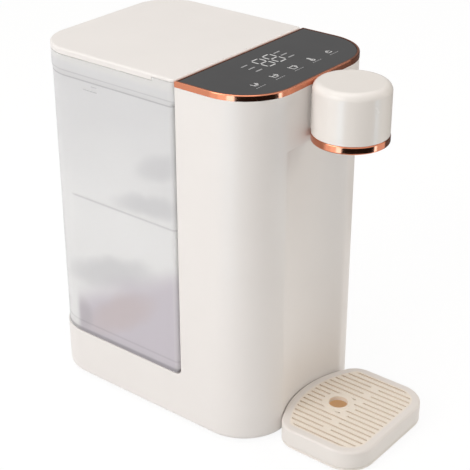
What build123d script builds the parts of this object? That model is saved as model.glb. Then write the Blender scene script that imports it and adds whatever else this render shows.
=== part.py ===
"""Countertop hot water dispenser with a lift-off water tank, modelled piece by piece.

Millimetres. +Z is up and the spout and the tray face -Y. The origin is the middle of the
footprint, on the table. The column with the panel stands in front, the tank behind it.
"""

import math
import os

from build123d import *

# Body
BODY_WIDTH = 159.0
BODY_DEPTH = 223.0
BODY_HEIGHT = 300.0
COLUMN_DEPTH = 74.4
FRONT_CORNER_R = 42.0
REAR_CORNER_R = 35.0
WALL = 2.5
SEAM_Z = 22.0
PLATFORM_TOP = 45.5
PLATFORM_CORNER_R = 5.5
PLATFORM_CORNER_TIP = 0.1

# Clearances
FIT = 0.15
RUN = 0.05
MOVE = 0.4

# Shallow channel down the front of the column, which the tray nests in
SCOOP_RADIUS = 92.0
SCOOP_DEPTH = 9.4
SCOOP_DROP = 49.0
SCOOP_CREASE_R = 9.0
SCOOP_KINK = 0.08

# Base
FOOT_GAP = 1.5
BASE_FLOOR = 2.5
BASE_EDGE_R = 6.0
LIP_HEIGHT = 3.0
LIP_WALL = 1.5
FOOT_R = 8.0
FOOT_SEAT = 1.2
FRONT_FOOT = (45.0, 28.5)
REAR_FOOT = (48.0, 40.5)
FRONT_BOSS = (58.0, 45.5)
MIDDLE_BOSS = (60.0, 26.1)
REAR_BOSS = (40.0, 17.5)
BOSS_R = 4.0
COLUMN_BOSS_TOP = 60.0
BOSS_RIB = 3.0
VENT_LENGTH = 40.0
VENT_WIDTH = 2.5
VENT_PITCH = 6.0
VENT_COUNT = 6
VENT_BACK = 47.5

# Screws
SCREW_R = 1.5
SCREW_LENGTH = 9.0
SCREW_HEAD_R = 2.8
SCREW_HEAD_HEIGHT = 1.4
CROSS_LENGTH = 3.0
CROSS_WIDTH = 0.7
CROSS_DEPTH = 0.8
COVER_SCREW_RISE = 34.5
COVER_SCREW_DROP = 50.0
COVER_BOSS = 9.0

# Mains cord gland in the rear wall
GLAND_SIDE = 49.5
GLAND_Z = 34.0
GLAND_R = 6.5
GLAND_FLANGE_R = 8.0
GLAND_FLANGE = 2.0
GLAND_BORE_R = 3.4

# Touch panel on top of the column
PANEL_DROP = 0.4
TRIM_HEIGHT = 4.5
TRIM_WIDTH = 1.8
TRIM_PROUD = 0.2
TRIM_EDGE_R = 0.8
GLASS_DROP = 0.2
GLASS_THICKNESS = 2.0
GLASS_EDGE = 0.3
FRAME_RING = 8.0
FRAME_DEPTH = 4.0
BOARD_THICKNESS = 1.6
BOARD_MARGIN = 3.0
DIGIT_WIDTH = 34.0
DIGIT_DEPTH = 24.0
DIGIT_AIR = 0.5
DIGIT_SETBACK = 48.8
PAD_R = 5.0
PAD_PITCH = 23.3
PAD_COUNT = 5
PAD_SETBACK = 27.1

# Spout
SPOUT_RADIUS = 29.3
SPOUT_REACH = 27.0
SPOUT_WALL = 2.4
SPOUT_EDGE_R = 6.0
NECK_WIDTH = 26.0
NECK_DROP = 12.0
RING_DROP = 45.8
RING_HEIGHT = 6.5
RING_WIDTH = 2.8
RING_PROUD = 0.3
RING_EDGE_R = 1.4
PLATE_RECESS = 1.0
PLATE_THICKNESS = 2.0
NOZZLE_R = 6.0
NOZZLE_DROP = 3.5
NOZZLE_FLANGE_R = 8.0
NOZZLE_FLANGE = 2.0
NOZZLE_BARB = 9.0
SPOUT_SCREW_X = 7.0
SPOUT_SCREW_DROP = 34.0
SPOUT_BOSS_R = 3.2
SPOUT_BOSS_LENGTH = 9.0

# Water path
BARB_R = 4.0
BARB_BORE_R = 2.8
BARB_LENGTH = 12.0
HOSE_R = 5.5
HOSE_RUN_DROP = 20.0
HOSE_HOLE_R = 7.0
HOSE_BEND_R = 9.0
HOSE_TURN = 23.5
PUMP_HOSE_BEND_R = 7.5

# Tank seat in the platform
SEAT_BACK = 70.0
SEAT_R = 17.0
SEAT_FLANGE_R = 20.0
SEAT_FLANGE = 1.6
SEAT_BOTTOM = 31.0
SEAT_FLOOR = 2.0
SEAT_SOCKET_GAP = 0.6
SUMP_R = 10.0
SUMP_WALL = 2.0
SUMP_BOTTOM = 19.0
PIN_R = 2.2
SEAL_Z = 41.0
SEAL_HEIGHT = 2.5
SEAL_WIDTH = 2.6
SEAL_GAP = 0.3

# Pump
PUMP_R = 16.0
PUMP_Z = 24.5
PUMP_INSET = 11.0
PUMP_LID = 3.0
VOLUTE_LENGTH = 14.0
VOLUTE_WALL = 2.0
VOLUTE_BACK = 2.5
MOTOR_LENGTH = 30.0
SHAFT_R = 1.5
SHAFT_IN_MOTOR = 20.0
IMPELLER_R = 12.5
IMPELLER_GAP = 1.0
IMPELLER_DISC = 2.0
IMPELLER_HEIGHT = 8.5
IMPELLER_HUB_R = 4.0
BLADE_COUNT = 5
BLADE_WIDTH = 1.6
OUTLET_X = 9.0
CRADLE_WIDTH = 26.0
CRADLE_LENGTH = 36.0
CRADLE_TOP = 16.0

# Heater
HEATER_SHARE = 0.478
HEATER_R = 13.0
HEATER_WALL = 1.2
HEATER_RISE = 44.5
HEATER_DROP = 90.0
HEATER_STAND = 6.0
CAP_WALL = 1.6
CAP_SOCKET = 8.0
CAP_END = 10.0
CLAMP_HEIGHT = 6.0
CLAMP_WALL = 3.4
CLAMP_FOOT_WIDTH = 20.0
CLAMP_GAP = 1.0
CUTOUT_R = 8.0
CUTOUT_THICKNESS = 5.5
CUTOUT_PITCH = 20.0
PROBE_R = 2.0
PROBE_LENGTH = 16.0
PROBE_INSET = 6.0

# Power board on the column's rear cover
POWER_STAND = 6.0
STANDOFF_R = 3.0
POWER_SIDE = 45.5
POWER_Z = 135.0
POWER_WIDTH = 64.0
POWER_HEIGHT = 110.0
STANDOFF_EDGE = 6.0
TRANSFORMER = (26.0, 20.0, 24.0)
TRANSFORMER_AT = (-16.0, -35.0)
RELAY = (20.0, 15.0, 16.0)
RELAY_AT = (18.0, -35.0)
SINK = (30.0, 18.0, 40.0)
SINK_AT = (-12.0, 20.0)
SINK_BASE = 3.0
FIN_COUNT = 6
FIN_WIDTH = 1.6
CAPACITOR_R = 6.0
CAPACITOR_LENGTH = 22.0
CAPACITOR_AT = (20.0, 15.0)
CABLE_AT = 16.0
CABLE_WIDTH = 12.0
CABLE_THICKNESS = 1.0
CABLE_LAP = 8.0
SENSOR = (12.0, 5.0, 20.0)

# Water tank
TANK_INSET = 1.0
TANK_WALL = 2.2
TANK_GAP = 3.2
TANK_FRONT_R = 4.0
TANK_SKIRT = 3.0
TANK_FLOOR = 2.5
TANK_CORNER_R = 4.6
TANK_CORNER_ANGLES = (270, 240, 210, 180)
RIM_LOW_DROP = 22.0
RIM_HIGH_DROP = 17.5
RIM_TOP_DROP = 5.3
RIM_INSET = 0.3
RIM_GAP = 0.8

# Lid
LID_PLATE = 2.2
LID_EDGE_R = 1.6
LID_INSET = 0.2
LID_SKIRT = 2.6
LID_SKIRT_WALL = 1.8
LID_PLUG_DEPTH = 8.0
LID_PLUG_WALL = 1.8
LID_PLUG_GAP = 1.2
LID_PLUG_REAR = 10.0
LID_SEAL_HEIGHT = 3.0
LID_SEAL_RISE = 1.5
NOTCH_LENGTH = 22.7
REAR_OPEN = 8.0
REAR_OPEN_HALF = 62.0
REAR_OPEN_GAP = 1.0

# Lid hinge at the rear
HINGE_INSET = 2.8
HINGE_DROP = 5.5
KNUCKLE_R = 2.4
KNUCKLE_WIDTH = 8.0
KNUCKLE_X = 34.0
HINGE_PIN_R = 1.2
HINGE_BLOCK_WALL = 6.0
HINGE_BLOCK_DEPTH = 2.2
HINGE_BLOCK_HEIGHT = 7.0
HINGE_SLOT_GAP = 0.5
HINGE_PIN_LENGTH = 16.0
HINGE_WEB_REAR = 2.0
REAR_RISE = 2.1
REAR_RISE_EDGE_R = 1.0

# Tank valve
VALVE_R = 12.0
VALVE_WALL = 2.5
VALVE_BOTTOM = 38.0
VALVE_PLATE = 2.0
VALVE_PORT_R = 5.0
VALVE_FLANGE_R = 16.0
VALVE_FLANGE = 2.0
VALVE_TOP = 56.0
GASKET = 1.0
GUIDE_THICKNESS = 2.0
GUIDE_PORT_R = 2.5
GUIDE_PORT_CIRCLE = 6.5
GUIDE_PORT_COUNT = 4
STEM_R = 2.4
STEM_RISE = 10.5
PIN_ENTRY = 2.0
HEAD_R = 7.5
HEAD_THICKNESS = 2.5
HEAD_LIFT = 4.0
VALVE_SEAL = 2.0
SPRING_R = 5.2
SPRING_WALL = 1.0
FILTER_WALL = 1.5
FILTER_HEIGHT = 18.0
FILTER_SLOTS = 10
FILTER_SLOT_WIDTH = 2.5
FILTER_SLOT_HEIGHT = 9.0
FILTER_SLOT_RISE = 4.0

# Water level float
FLOAT_X = 40.0
CAGE_WIDTH = 24.0
CAGE_DEPTH = 20.0
CAGE_HEIGHT = 29.0
CAGE_WALL = 1.5
CAGE_OFF = 0.3
CAGE_BAR = 4.0
FLOAT_HEIGHT = 14.0
FLOAT_EDGE_R = 2.0
MAGNET_R = 4.0
MAGNET_THICKNESS = 3.0

# Drip tray
TRAY_REACH = 82.0
TRAY_WIDTH = 112.0
TRAY_FRONT_R = 24.4
TRAY_REAR_R = 19.6
TRAY_TOP = 20.0
TRAY_BOTTOM = 1.5
TRAY_FLANGE = 3.5
TRAY_EDGE_R = 2.5
TRAY_WALL = 2.0
TRAY_FLOOR = 2.0
GRILLE_THICKNESS = 3.2
GRILLE_EDGE_R = 2.2
GRILLE_SKIRT = 2.0
GRILLE_SKIRT_GAP = 0.3
SLOT_COUNT = 17
SLOT_PITCH = 5.85
SLOT_WIDTH = 1.8
SLOT_MARGIN = 8.0
BREAK_LENGTH = 7.0
BREAK_FORWARD = 13.0
BREAK_COUNT = 7
DRAIN_R = 8.0
DRAIN_BEAD = 2.0
DRAIN_BEAD_HEIGHT = 0.4
DRAIN_RING_R = 13.2
PAD_FOOT_R = 5.0
PAD_FOOT_SEAT = 0.8
PAD_FOOT_X = 38.0
PAD_FOOT_FRONT = 24.5
PAD_FOOT_REAR = 17.5

# Places worked out from the sizes above
HALF = BODY_WIDTH / 2
BACK_Y = (BODY_DEPTH + TRAY_REACH) / 2
FRONT_Y = BACK_Y - BODY_DEPTH
SPLIT_Y = FRONT_Y + COLUMN_DEPTH
COVER_Y = SPLIT_Y - WALL
BASE_INSIDE = FOOT_GAP + BASE_FLOOR
PLATFORM_CEILING = PLATFORM_TOP - WALL
SCOOP_Y = FRONT_Y + SCOOP_DEPTH - SCOOP_RADIUS
SCOOP_TOP = BODY_HEIGHT - SCOOP_DROP
FOOT_PLACES = [(FRONT_FOOT[0], FRONT_Y + FRONT_FOOT[1]), (REAR_FOOT[0], BACK_Y - REAR_FOOT[1])]
FOOT_POINTS = [(side * x, y) for x, y in FOOT_PLACES for side in (-1, 1)]
BOSS_PLACES = [
    (FRONT_BOSS[0], FRONT_Y + FRONT_BOSS[1]),
    (MIDDLE_BOSS[0], SPLIT_Y + MIDDLE_BOSS[1]),
    (REAR_BOSS[0], BACK_Y - REAR_BOSS[1]),
]
BASE_BOSS_POINTS = [(side * x, y) for x, y in BOSS_PLACES for side in (-1, 1)]
VENT_Y = BACK_Y - VENT_BACK
GLAND_X = HALF - GLAND_SIDE
PANEL_TOP = BODY_HEIGHT - PANEL_DROP
COLUMN_TOP = PANEL_TOP - TRIM_HEIGHT
GLASS_TOP = PANEL_TOP - GLASS_DROP
GLASS_BOTTOM = GLASS_TOP - GLASS_THICKNESS
FRAME_BOTTOM = COLUMN_TOP - FRAME_DEPTH
BOARD_BOTTOM = FRAME_BOTTOM - BOARD_THICKNESS
SPOUT_Y = FRONT_Y - SPOUT_REACH
RING_Z = BODY_HEIGHT - RING_DROP
RING_TOP = RING_Z + RING_HEIGHT
PLATE_TOP = RING_Z + PLATE_RECESS + PLATE_THICKNESS
SPOUT_SCREW_Z = BODY_HEIGHT - SPOUT_SCREW_DROP
HOSE_RUN_Z = BODY_HEIGHT - HOSE_RUN_DROP
HOSE_TURN_Y = FRONT_Y + HOSE_TURN
SEAT_Y = SPLIT_Y + SEAT_BACK
SUMP_FLOOR = SUMP_BOTTOM + SUMP_WALL
SEAT_BARB_END = SEAT_Y - SUMP_R - BARB_LENGTH
PUMP_FACE_Y = SPLIT_Y - PUMP_INSET
VOLUTE_FACE_Y = PUMP_FACE_Y - PUMP_LID
MOTOR_FACE_Y = VOLUTE_FACE_Y - VOLUTE_LENGTH
OUTLET_Y = VOLUTE_FACE_Y - VOLUTE_LENGTH / 2
OUTLET_TOP = PUMP_Z + PUMP_R + BARB_LENGTH
HEATER_Y = COVER_Y - HEATER_STAND - HEATER_R
HEATER_X = -HEATER_SHARE * HALF
HEATER_BOTTOM = PLATFORM_TOP + HEATER_RISE
HEATER_TOP = BODY_HEIGHT - HEATER_DROP
HEATER_LENGTH = HEATER_TOP - HEATER_BOTTOM
HEATER_MIDDLE = (HEATER_BOTTOM + HEATER_TOP) / 2
POWER_X = HALF - POWER_SIDE
CABLE_X = POWER_X + CABLE_AT
POWER_FACE_Y = COVER_Y - POWER_STAND - BOARD_THICKNESS
TANK_FRONT = SPLIT_Y + TANK_GAP
TANK_FLOOR_Z = PLATFORM_TOP + TANK_SKIRT
RIM_LOW = BODY_HEIGHT - RIM_LOW_DROP
RIM_HIGH = BODY_HEIGHT - RIM_HIGH_DROP
RIM_TOP = BODY_HEIGHT - RIM_TOP_DROP
TANK_INSIDE_Z = TANK_FLOOR_Z + TANK_FLOOR
TANK_INNER = TANK_INSET + TANK_WALL
TANK_INNER_FRONT = TANK_FRONT + TANK_WALL
LID_UNDER = BODY_HEIGHT - LID_PLATE
EAR_TOP = LID_UNDER - MOVE
LID_FRONT = SPLIT_Y + RIM_GAP
NOTCH_Y = SPLIT_Y + NOTCH_LENGTH
PLUG_INSET = TANK_INNER + LID_PLUG_GAP
HINGE_Y = BACK_Y - HINGE_INSET
HINGE_Z = BODY_HEIGHT - HINGE_DROP
VALVE_SEAT_Z = VALVE_BOTTOM + VALVE_PLATE
STEM_BOTTOM = VALVE_BOTTOM - PIN_ENTRY
HEAD_Z = VALVE_SEAT_Z + HEAD_LIFT
FLANGE_TOP = TANK_INSIDE_Z + GASKET + VALVE_FLANGE
CAGE_Y = TANK_INNER_FRONT + CAGE_OFF
FLOAT_BOTTOM = TANK_INSIDE_Z + CAGE_WALL + MOVE
TRAY_FRONT_Y = FRONT_Y - TRAY_REACH
TRAY_RIM = TRAY_TOP - GRILLE_THICKNESS
BOWL_INSET = GRILLE_SKIRT + MOVE
SKIRT_Z = TRAY_BOTTOM + TRAY_FLANGE + GRILLE_SKIRT_GAP
DRAIN_Y = SPOUT_Y
PAD_FOOT_YS = (TRAY_FRONT_Y + PAD_FOOT_FRONT, FRONT_Y - PAD_FOOT_REAR)
PAD_FOOT_POINTS = [(x, y) for y in PAD_FOOT_YS for x in (-PAD_FOOT_X, PAD_FOOT_X)]


def outline(inset, rear, rear_corner_r):
    """Plan of the body, or of its front column, before the channel is cut."""
    with BuildSketch() as plan:
        with Locations((0, FRONT_Y + inset)):
            Rectangle(BODY_WIDTH - 2 * inset, rear - FRONT_Y - inset, align=(Align.CENTER, Align.MIN))
        fillet(plan.vertices().group_by(Axis.Y)[0], FRONT_CORNER_R - inset)
        if rear_corner_r > 0:
            fillet(plan.vertices().group_by(Axis.Y)[-1], rear_corner_r)
    return plan.sketch


def body_plan(z, inset, kink=0):
    """Plan of the whole body with its front channel, drawn in by inset.

    With a kink, the channel's rounded creases meet the front at a slight angle.
    """
    whole = outline(inset, BACK_Y - inset, REAR_CORNER_R - inset)
    with BuildSketch(Plane.XY.offset(z)) as plan:
        add(outline(inset - kink, BACK_Y - inset, REAR_CORNER_R - inset))
        cut_scoop(plan, inset)
        if kink > 0:
            add(whole, mode=Mode.INTERSECT)
    return plan.sketch


def column_plan(z, inset, rear, kink=0):
    """Plan of the front column, drawn in by inset and straight across at rear.

    With a kink it has the front channel too, as in the plan of the whole body.
    """
    whole = outline(inset, rear, 0)
    with BuildSketch(Plane.XY.offset(z)) as plan:
        add(outline(inset - kink, rear, 0))
        if kink > 0:
            cut_scoop(plan, inset)
            add(whole, mode=Mode.INTERSECT)
    return plan.sketch


def cut_scoop(plan, inset):
    """Cut the front channel into a plan and round its two creases, which face outwards."""
    radius = SCOOP_RADIUS + inset
    with Locations((0, SCOOP_Y)):
        Circle(radius, mode=Mode.SUBTRACT)
    centre = Vector(0, SCOOP_Y)
    by_scoop = plan.vertices().sort_by(lambda v: abs((Vector(v.X, v.Y) - centre).length - radius))
    fillet(by_scoop[:2], SCOOP_CREASE_R - inset)


def tank_plan(z, inset, front):
    """Plan of the rear of the body, where the tank stands, drawn in by inset."""
    with BuildSketch(Plane.XY.offset(z)) as plan:
        with Locations((0, front)):
            Rectangle(BODY_WIDTH - 2 * inset, BACK_Y - inset - front, align=(Align.CENTER, Align.MIN))
        fillet(plan.vertices().group_by(Axis.Y)[0], TANK_FRONT_R)
        fillet(plan.vertices().group_by(Axis.Y)[-1], REAR_CORNER_R - inset)
    return plan.sketch


def plug_plan(z, inset):
    """Plan of the lid's plug, which drops into the tank's mouth clear of the hinge."""
    front = TANK_INNER_FRONT + LID_PLUG_GAP + inset
    rear = BACK_Y - LID_PLUG_REAR - inset
    with BuildSketch(Plane.XY.offset(z)) as plan:
        with Locations((0, front)):
            Rectangle(BODY_WIDTH - 2 * (PLUG_INSET + inset), rear - front, align=(Align.CENTER, Align.MIN))
        fillet(plan.vertices().group_by(Axis.Y)[0], TANK_FRONT_R)
        fillet(plan.vertices().group_by(Axis.Y)[-1], REAR_CORNER_R - PLUG_INSET - inset)
    return plan.sketch


def tray_plan(z, inset):
    """Plan of the drip tray: its rear arc runs parallel to the front channel."""
    with BuildSketch(Plane.XY.offset(z)) as plan:
        with Locations((0, TRAY_FRONT_Y + inset)):
            Rectangle(TRAY_WIDTH - 2 * inset, SCOOP_RADIUS + TRAY_REACH, align=(Align.CENTER, Align.MIN))
        with Locations((0, SCOOP_Y)):
            Circle(SCOOP_RADIUS - MOVE - inset, mode=Mode.INTERSECT)
        fillet(plan.vertices().group_by(Axis.Y)[0], TRAY_FRONT_R - inset)
        fillet(plan.vertices().group_by(Axis.Y)[-1], TRAY_REAR_R - inset)
    return plan.sketch


def upright(x, y, z):
    """Plane whose normal points up."""
    return Plane(origin=(x, y, z), x_dir=(1, 0, 0), z_dir=(0, 0, 1))


def forward(x, y, z):
    """Plane whose normal points to the front, -Y."""
    return Plane(origin=(x, y, z), x_dir=(1, 0, 0), z_dir=(0, -1, 0))


def bar(plane, radius, length, mode=Mode.ADD):
    """Round bar of the piece in hand, from a plane along its normal."""
    with BuildSketch(plane) as section:
        Circle(radius)
    extrude(to_extrude=section.sketch, amount=length, mode=mode)


def block(low, high, mode=Mode.ADD):
    """Box of the piece in hand between two corners."""
    size = Vector(*high) - Vector(*low)
    with Locations((Vector(*low) + Vector(*high)) * 0.5):
        Box(size.X, size.Y, size.Z, mode=mode)


def screw_set(planes):
    """Pan-head screws, one on each plane, with the head standing on it."""
    with BuildPart() as screws:
        for plane in planes:
            bar(plane, SCREW_R, -SCREW_LENGTH)
            bar(plane, SCREW_HEAD_R, SCREW_HEAD_HEIGHT)
            with BuildSketch(plane.offset(SCREW_HEAD_HEIGHT)) as cross:
                Rectangle(CROSS_LENGTH, CROSS_WIDTH)
                Rectangle(CROSS_WIDTH, CROSS_LENGTH)
            extrude(to_extrude=cross.sketch, amount=-CROSS_DEPTH, mode=Mode.SUBTRACT)
    return screws


def hose(points, radius):
    """Silicone hose along straight runs joined by arcs, pushed over a barb at each end."""
    with BuildPart() as tube:
        with BuildLine() as route:
            if len(points) == 2:
                Line(*points)
            else:
                FilletPolyline(*points, radius=radius)
        with BuildSketch(Plane(origin=route.line @ 0, z_dir=route.line % 0)):
            Circle(HOSE_R)
            Circle(BARB_R + RUN, mode=Mode.SUBTRACT)
        sweep(path=route.line)
    return tube


# Where the screws go
base_screw_planes = [
    Plane(origin=(x, y, FOOT_GAP + SCREW_HEAD_HEIGHT), z_dir=(0, 0, -1)) for x, y in BASE_BOSS_POINTS
]
COVER_SCREW_X = HALF - WALL - COVER_BOSS / 2
cover_screw_heights = (PLATFORM_TOP + COVER_SCREW_RISE, BODY_HEIGHT - COVER_SCREW_DROP)
cover_screw_points = [(x, z) for x in (-COVER_SCREW_X, COVER_SCREW_X) for z in cover_screw_heights]
cover_screw_planes = [
    Plane(origin=(x, SPLIT_Y - SCREW_HEAD_HEIGHT, z), z_dir=(0, 1, 0)) for x, z in cover_screw_points
]
spout_screw_planes = [
    Plane(origin=(x, FRONT_Y + WALL, SPOUT_SCREW_Z), z_dir=(0, 1, 0)) for x in (-SPOUT_SCREW_X, SPOUT_SCREW_X)
]

# Housing: front column, low platform behind it, open below and at the column's back
with BuildPart() as housing:
    extrude(to_extrude=body_plan(SEAM_Z, 0, SCOOP_KINK), amount=PLATFORM_TOP - SEAM_Z)
    scooped_column = column_plan(PLATFORM_TOP, 0, SPLIT_Y, SCOOP_KINK)
    extrude(to_extrude=scooped_column, amount=SCOOP_TOP - PLATFORM_TOP)
    extrude(to_extrude=column_plan(SCOOP_TOP, 0, SPLIT_Y), amount=COLUMN_TOP - SCOOP_TOP)
    for side in (HALF - WALL, -HALF):
        with BuildSketch(Plane.YZ.offset(side)):
            with Locations((SPLIT_Y, PLATFORM_TOP)):
                Rectangle(PLATFORM_CORNER_R, PLATFORM_CORNER_R, align=Align.MIN)
            with Locations((SPLIT_Y + PLATFORM_CORNER_R, PLATFORM_TOP + PLATFORM_CORNER_R)):
                Circle(PLATFORM_CORNER_R - PLATFORM_CORNER_TIP, mode=Mode.SUBTRACT)
        extrude(amount=WALL)
    under_platform = body_plan(SEAM_Z, WALL, SCOOP_KINK)
    extrude(to_extrude=under_platform, amount=PLATFORM_CEILING - SEAM_Z, mode=Mode.SUBTRACT)
    beside_platform = column_plan(PLATFORM_CEILING, WALL, COVER_Y, SCOOP_KINK)
    extrude(to_extrude=beside_platform, amount=WALL, mode=Mode.SUBTRACT)
    in_column = column_plan(PLATFORM_TOP, WALL, SPLIT_Y, SCOOP_KINK)
    extrude(to_extrude=in_column, amount=SCOOP_TOP + WALL - PLATFORM_TOP, mode=Mode.SUBTRACT)
    in_head = column_plan(SCOOP_TOP + WALL, WALL, SPLIT_Y)
    extrude(to_extrude=in_head, amount=COLUMN_TOP - SCOOP_TOP - WALL, mode=Mode.SUBTRACT)
    for x, y in BASE_BOSS_POINTS:
        boss_top = PLATFORM_CEILING if y > SPLIT_Y else COLUMN_BOSS_TOP
        bar(upright(x, y, BASE_INSIDE), BOSS_R, boss_top - BASE_INSIDE)
        if y < SPLIT_Y:
            wall_x = HALF - WALL if x > 0 else WALL - HALF
            rib_low = (min(x, wall_x), y - BOSS_RIB / 2, SEAM_Z + LIP_HEIGHT + MOVE)
            block(rib_low, (max(x, wall_x), y + BOSS_RIB / 2, boss_top))
    for plane in base_screw_planes:
        bar(plane, SCREW_R + RUN, -SCREW_LENGTH - FIT, mode=Mode.SUBTRACT)
    for x, z in cover_screw_points:
        wall_x = HALF - WALL if x > 0 else WALL - HALF
        inner_x = wall_x - COVER_BOSS if x > 0 else wall_x + COVER_BOSS
        boss_low = (min(wall_x, inner_x), COVER_Y - SCREW_LENGTH, z - COVER_BOSS / 2)
        block(boss_low, (max(wall_x, inner_x), COVER_Y, z + COVER_BOSS / 2))
    for plane in cover_screw_planes:
        bar(plane, SCREW_R + RUN, -SCREW_LENGTH - FIT, mode=Mode.SUBTRACT)
    for plane in spout_screw_planes:
        bar(plane, SCREW_R + RUN, -WALL, mode=Mode.SUBTRACT)
    bar(forward(0, FRONT_Y + WALL, HOSE_RUN_Z), HOSE_HOLE_R, WALL, mode=Mode.SUBTRACT)
    bar(upright(0, SEAT_Y, PLATFORM_CEILING), SEAT_R + FIT, WALL, mode=Mode.SUBTRACT)
    bar(forward(GLAND_X, BACK_Y, GLAND_Z), GLAND_R + FIT, WALL, mode=Mode.SUBTRACT)

# It is two mouldings, butted flush behind the column: the column and the platform under the tank
with BuildPart() as main_housing:
    add(housing.part)
    block((-BODY_WIDTH, SPLIT_Y, 0), (BODY_WIDTH, BACK_Y + WALL, BODY_HEIGHT), mode=Mode.SUBTRACT)
main_housing.part.label = "main_housing"

with BuildPart() as tank_platform:
    add(housing.part)
    block((-BODY_WIDTH, FRONT_Y - WALL, 0), (BODY_WIDTH, SPLIT_Y, BODY_HEIGHT), mode=Mode.SUBTRACT)
tank_platform.part.label = "tank_platform"

# Base cover: shallow pan that closes the housing from below
with BuildPart() as base_cover:
    extrude(to_extrude=body_plan(FOOT_GAP, 0), amount=SEAM_Z - FOOT_GAP)
    fillet(base_cover.faces().sort_by(Axis.Z)[0].edges(), BASE_EDGE_R)
    inside = body_plan(BASE_INSIDE, WALL)
    extrude(to_extrude=inside, amount=SEAM_Z - BASE_INSIDE, mode=Mode.SUBTRACT)
    with BuildSketch(Plane.XY.offset(SEAM_Z - LIP_HEIGHT)):
        add(body_plan(0, WALL))
        add(body_plan(0, WALL + FIT + LIP_WALL), mode=Mode.SUBTRACT)
    extrude(amount=LIP_HEIGHT)
    with BuildSketch(Plane.XY.offset(SEAM_Z)):
        add(body_plan(0, WALL + FIT))
        add(body_plan(0, WALL + FIT + LIP_WALL), mode=Mode.SUBTRACT)
    extrude(amount=LIP_HEIGHT)
    for x, y in FOOT_POINTS:
        bar(upright(x, y, FOOT_GAP), FOOT_R + FIT, FOOT_SEAT, mode=Mode.SUBTRACT)
    for x, y in BASE_BOSS_POINTS:
        bar(upright(x, y, FOOT_GAP), SCREW_R + FIT, BASE_FLOOR, mode=Mode.SUBTRACT)
        bar(upright(x, y, FOOT_GAP), SCREW_HEAD_R + FIT, SCREW_HEAD_HEIGHT, mode=Mode.SUBTRACT)
    with BuildSketch(upright(0, VENT_Y, FOOT_GAP)):
        with GridLocations(0, VENT_PITCH, 1, VENT_COUNT):
            SlotOverall(VENT_LENGTH, VENT_WIDTH)
    extrude(amount=BASE_FLOOR, mode=Mode.SUBTRACT)
base_cover.part.label = "base_cover"

# Rubber feet under the base
with BuildPart() as rubber_feet:
    for x, y in FOOT_POINTS:
        bar(upright(x, y, 0), FOOT_R, FOOT_GAP + FOOT_SEAT)
rubber_feet.part.label = "rubber_feet"

base_screws = screw_set(base_screw_planes)
base_screws.part.label = "base_screws"

# Rear cover of the column: it faces the tank and carries the heater and the power board
with BuildPart() as column_rear_cover:
    cover_half = HALF - WALL - FIT
    block((-cover_half, COVER_Y, PLATFORM_TOP), (cover_half, SPLIT_Y, COLUMN_TOP))
    for plane in cover_screw_planes:
        bar(plane, SCREW_R + FIT, -WALL, mode=Mode.SUBTRACT)
        bar(plane, SCREW_HEAD_R + FIT, SCREW_HEAD_HEIGHT, mode=Mode.SUBTRACT)
    for x in (POWER_X - POWER_WIDTH / 2 + STANDOFF_EDGE, POWER_X + POWER_WIDTH / 2 - STANDOFF_EDGE):
        for z in (POWER_Z - POWER_HEIGHT / 2 + STANDOFF_EDGE, POWER_Z + POWER_HEIGHT / 2 - STANDOFF_EDGE):
            bar(forward(x, COVER_Y, z), STANDOFF_R, POWER_STAND)
column_rear_cover.part.label = "column_rear_cover"

cover_screws = screw_set(cover_screw_planes)
cover_screws.part.label = "cover_screws"

# Gland for the mains cord, held by its inner flange
with BuildPart() as cord_gland:
    bar(forward(GLAND_X, BACK_Y, GLAND_Z), GLAND_R, WALL)
    bar(forward(GLAND_X, BACK_Y - WALL, GLAND_Z), GLAND_FLANGE_R, GLAND_FLANGE)
    bar(forward(GLAND_X, BACK_Y, GLAND_Z), GLAND_BORE_R, WALL + GLAND_FLANGE, mode=Mode.SUBTRACT)
cord_gland.part.label = "cord_gland"

# Copper-coloured trim band round the touch panel
with BuildPart() as panel_trim:
    with BuildSketch(Plane.XY.offset(COLUMN_TOP)):
        add(column_plan(0, -TRIM_PROUD, SPLIT_Y))
        add(column_plan(0, TRIM_WIDTH, SPLIT_Y - TRIM_WIDTH), mode=Mode.SUBTRACT)
    extrude(amount=TRIM_HEIGHT)
    fillet(panel_trim.faces().sort_by(Axis.Z)[-1].outer_wire().edges(), TRIM_EDGE_R)
panel_trim.part.label = "panel_trim"

# Carrier that the glass, the trim and the display board are fixed to
PANEL_INSET = TRIM_WIDTH + FIT
with BuildPart() as panel_frame:
    with BuildSketch(Plane.XY.offset(COLUMN_TOP)):
        add(column_plan(0, PANEL_INSET, SPLIT_Y - PANEL_INSET))
        add(column_plan(0, WALL + FIT + FRAME_RING, COVER_Y - FIT - FRAME_RING), mode=Mode.SUBTRACT)
    extrude(amount=GLASS_BOTTOM - COLUMN_TOP)
    with BuildSketch(Plane.XY.offset(FRAME_BOTTOM)):
        add(column_plan(0, WALL + FIT, COVER_Y - FIT))
        add(column_plan(0, WALL + FIT + FRAME_RING, COVER_Y - FIT - FRAME_RING), mode=Mode.SUBTRACT)
    extrude(amount=FRAME_DEPTH)
panel_frame.part.label = "panel_frame"

# Dark glass with the touch fields
with BuildPart() as touch_glass:
    extrude(to_extrude=column_plan(GLASS_BOTTOM, PANEL_INSET, SPLIT_Y - PANEL_INSET), amount=GLASS_THICKNESS)
    chamfer(touch_glass.faces().sort_by(Axis.Z)[-1].edges(), GLASS_EDGE)
touch_glass.part.label = "touch_glass"

# Display board under the carrier, with the digits and the touch contacts on it
with BuildPart() as display_board:
    board_inset = WALL + FIT + BOARD_MARGIN
    board = column_plan(BOARD_BOTTOM, board_inset, COVER_Y - FIT - BOARD_MARGIN)
    extrude(to_extrude=board, amount=BOARD_THICKNESS)
display_board.part.label = "display_board"

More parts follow.
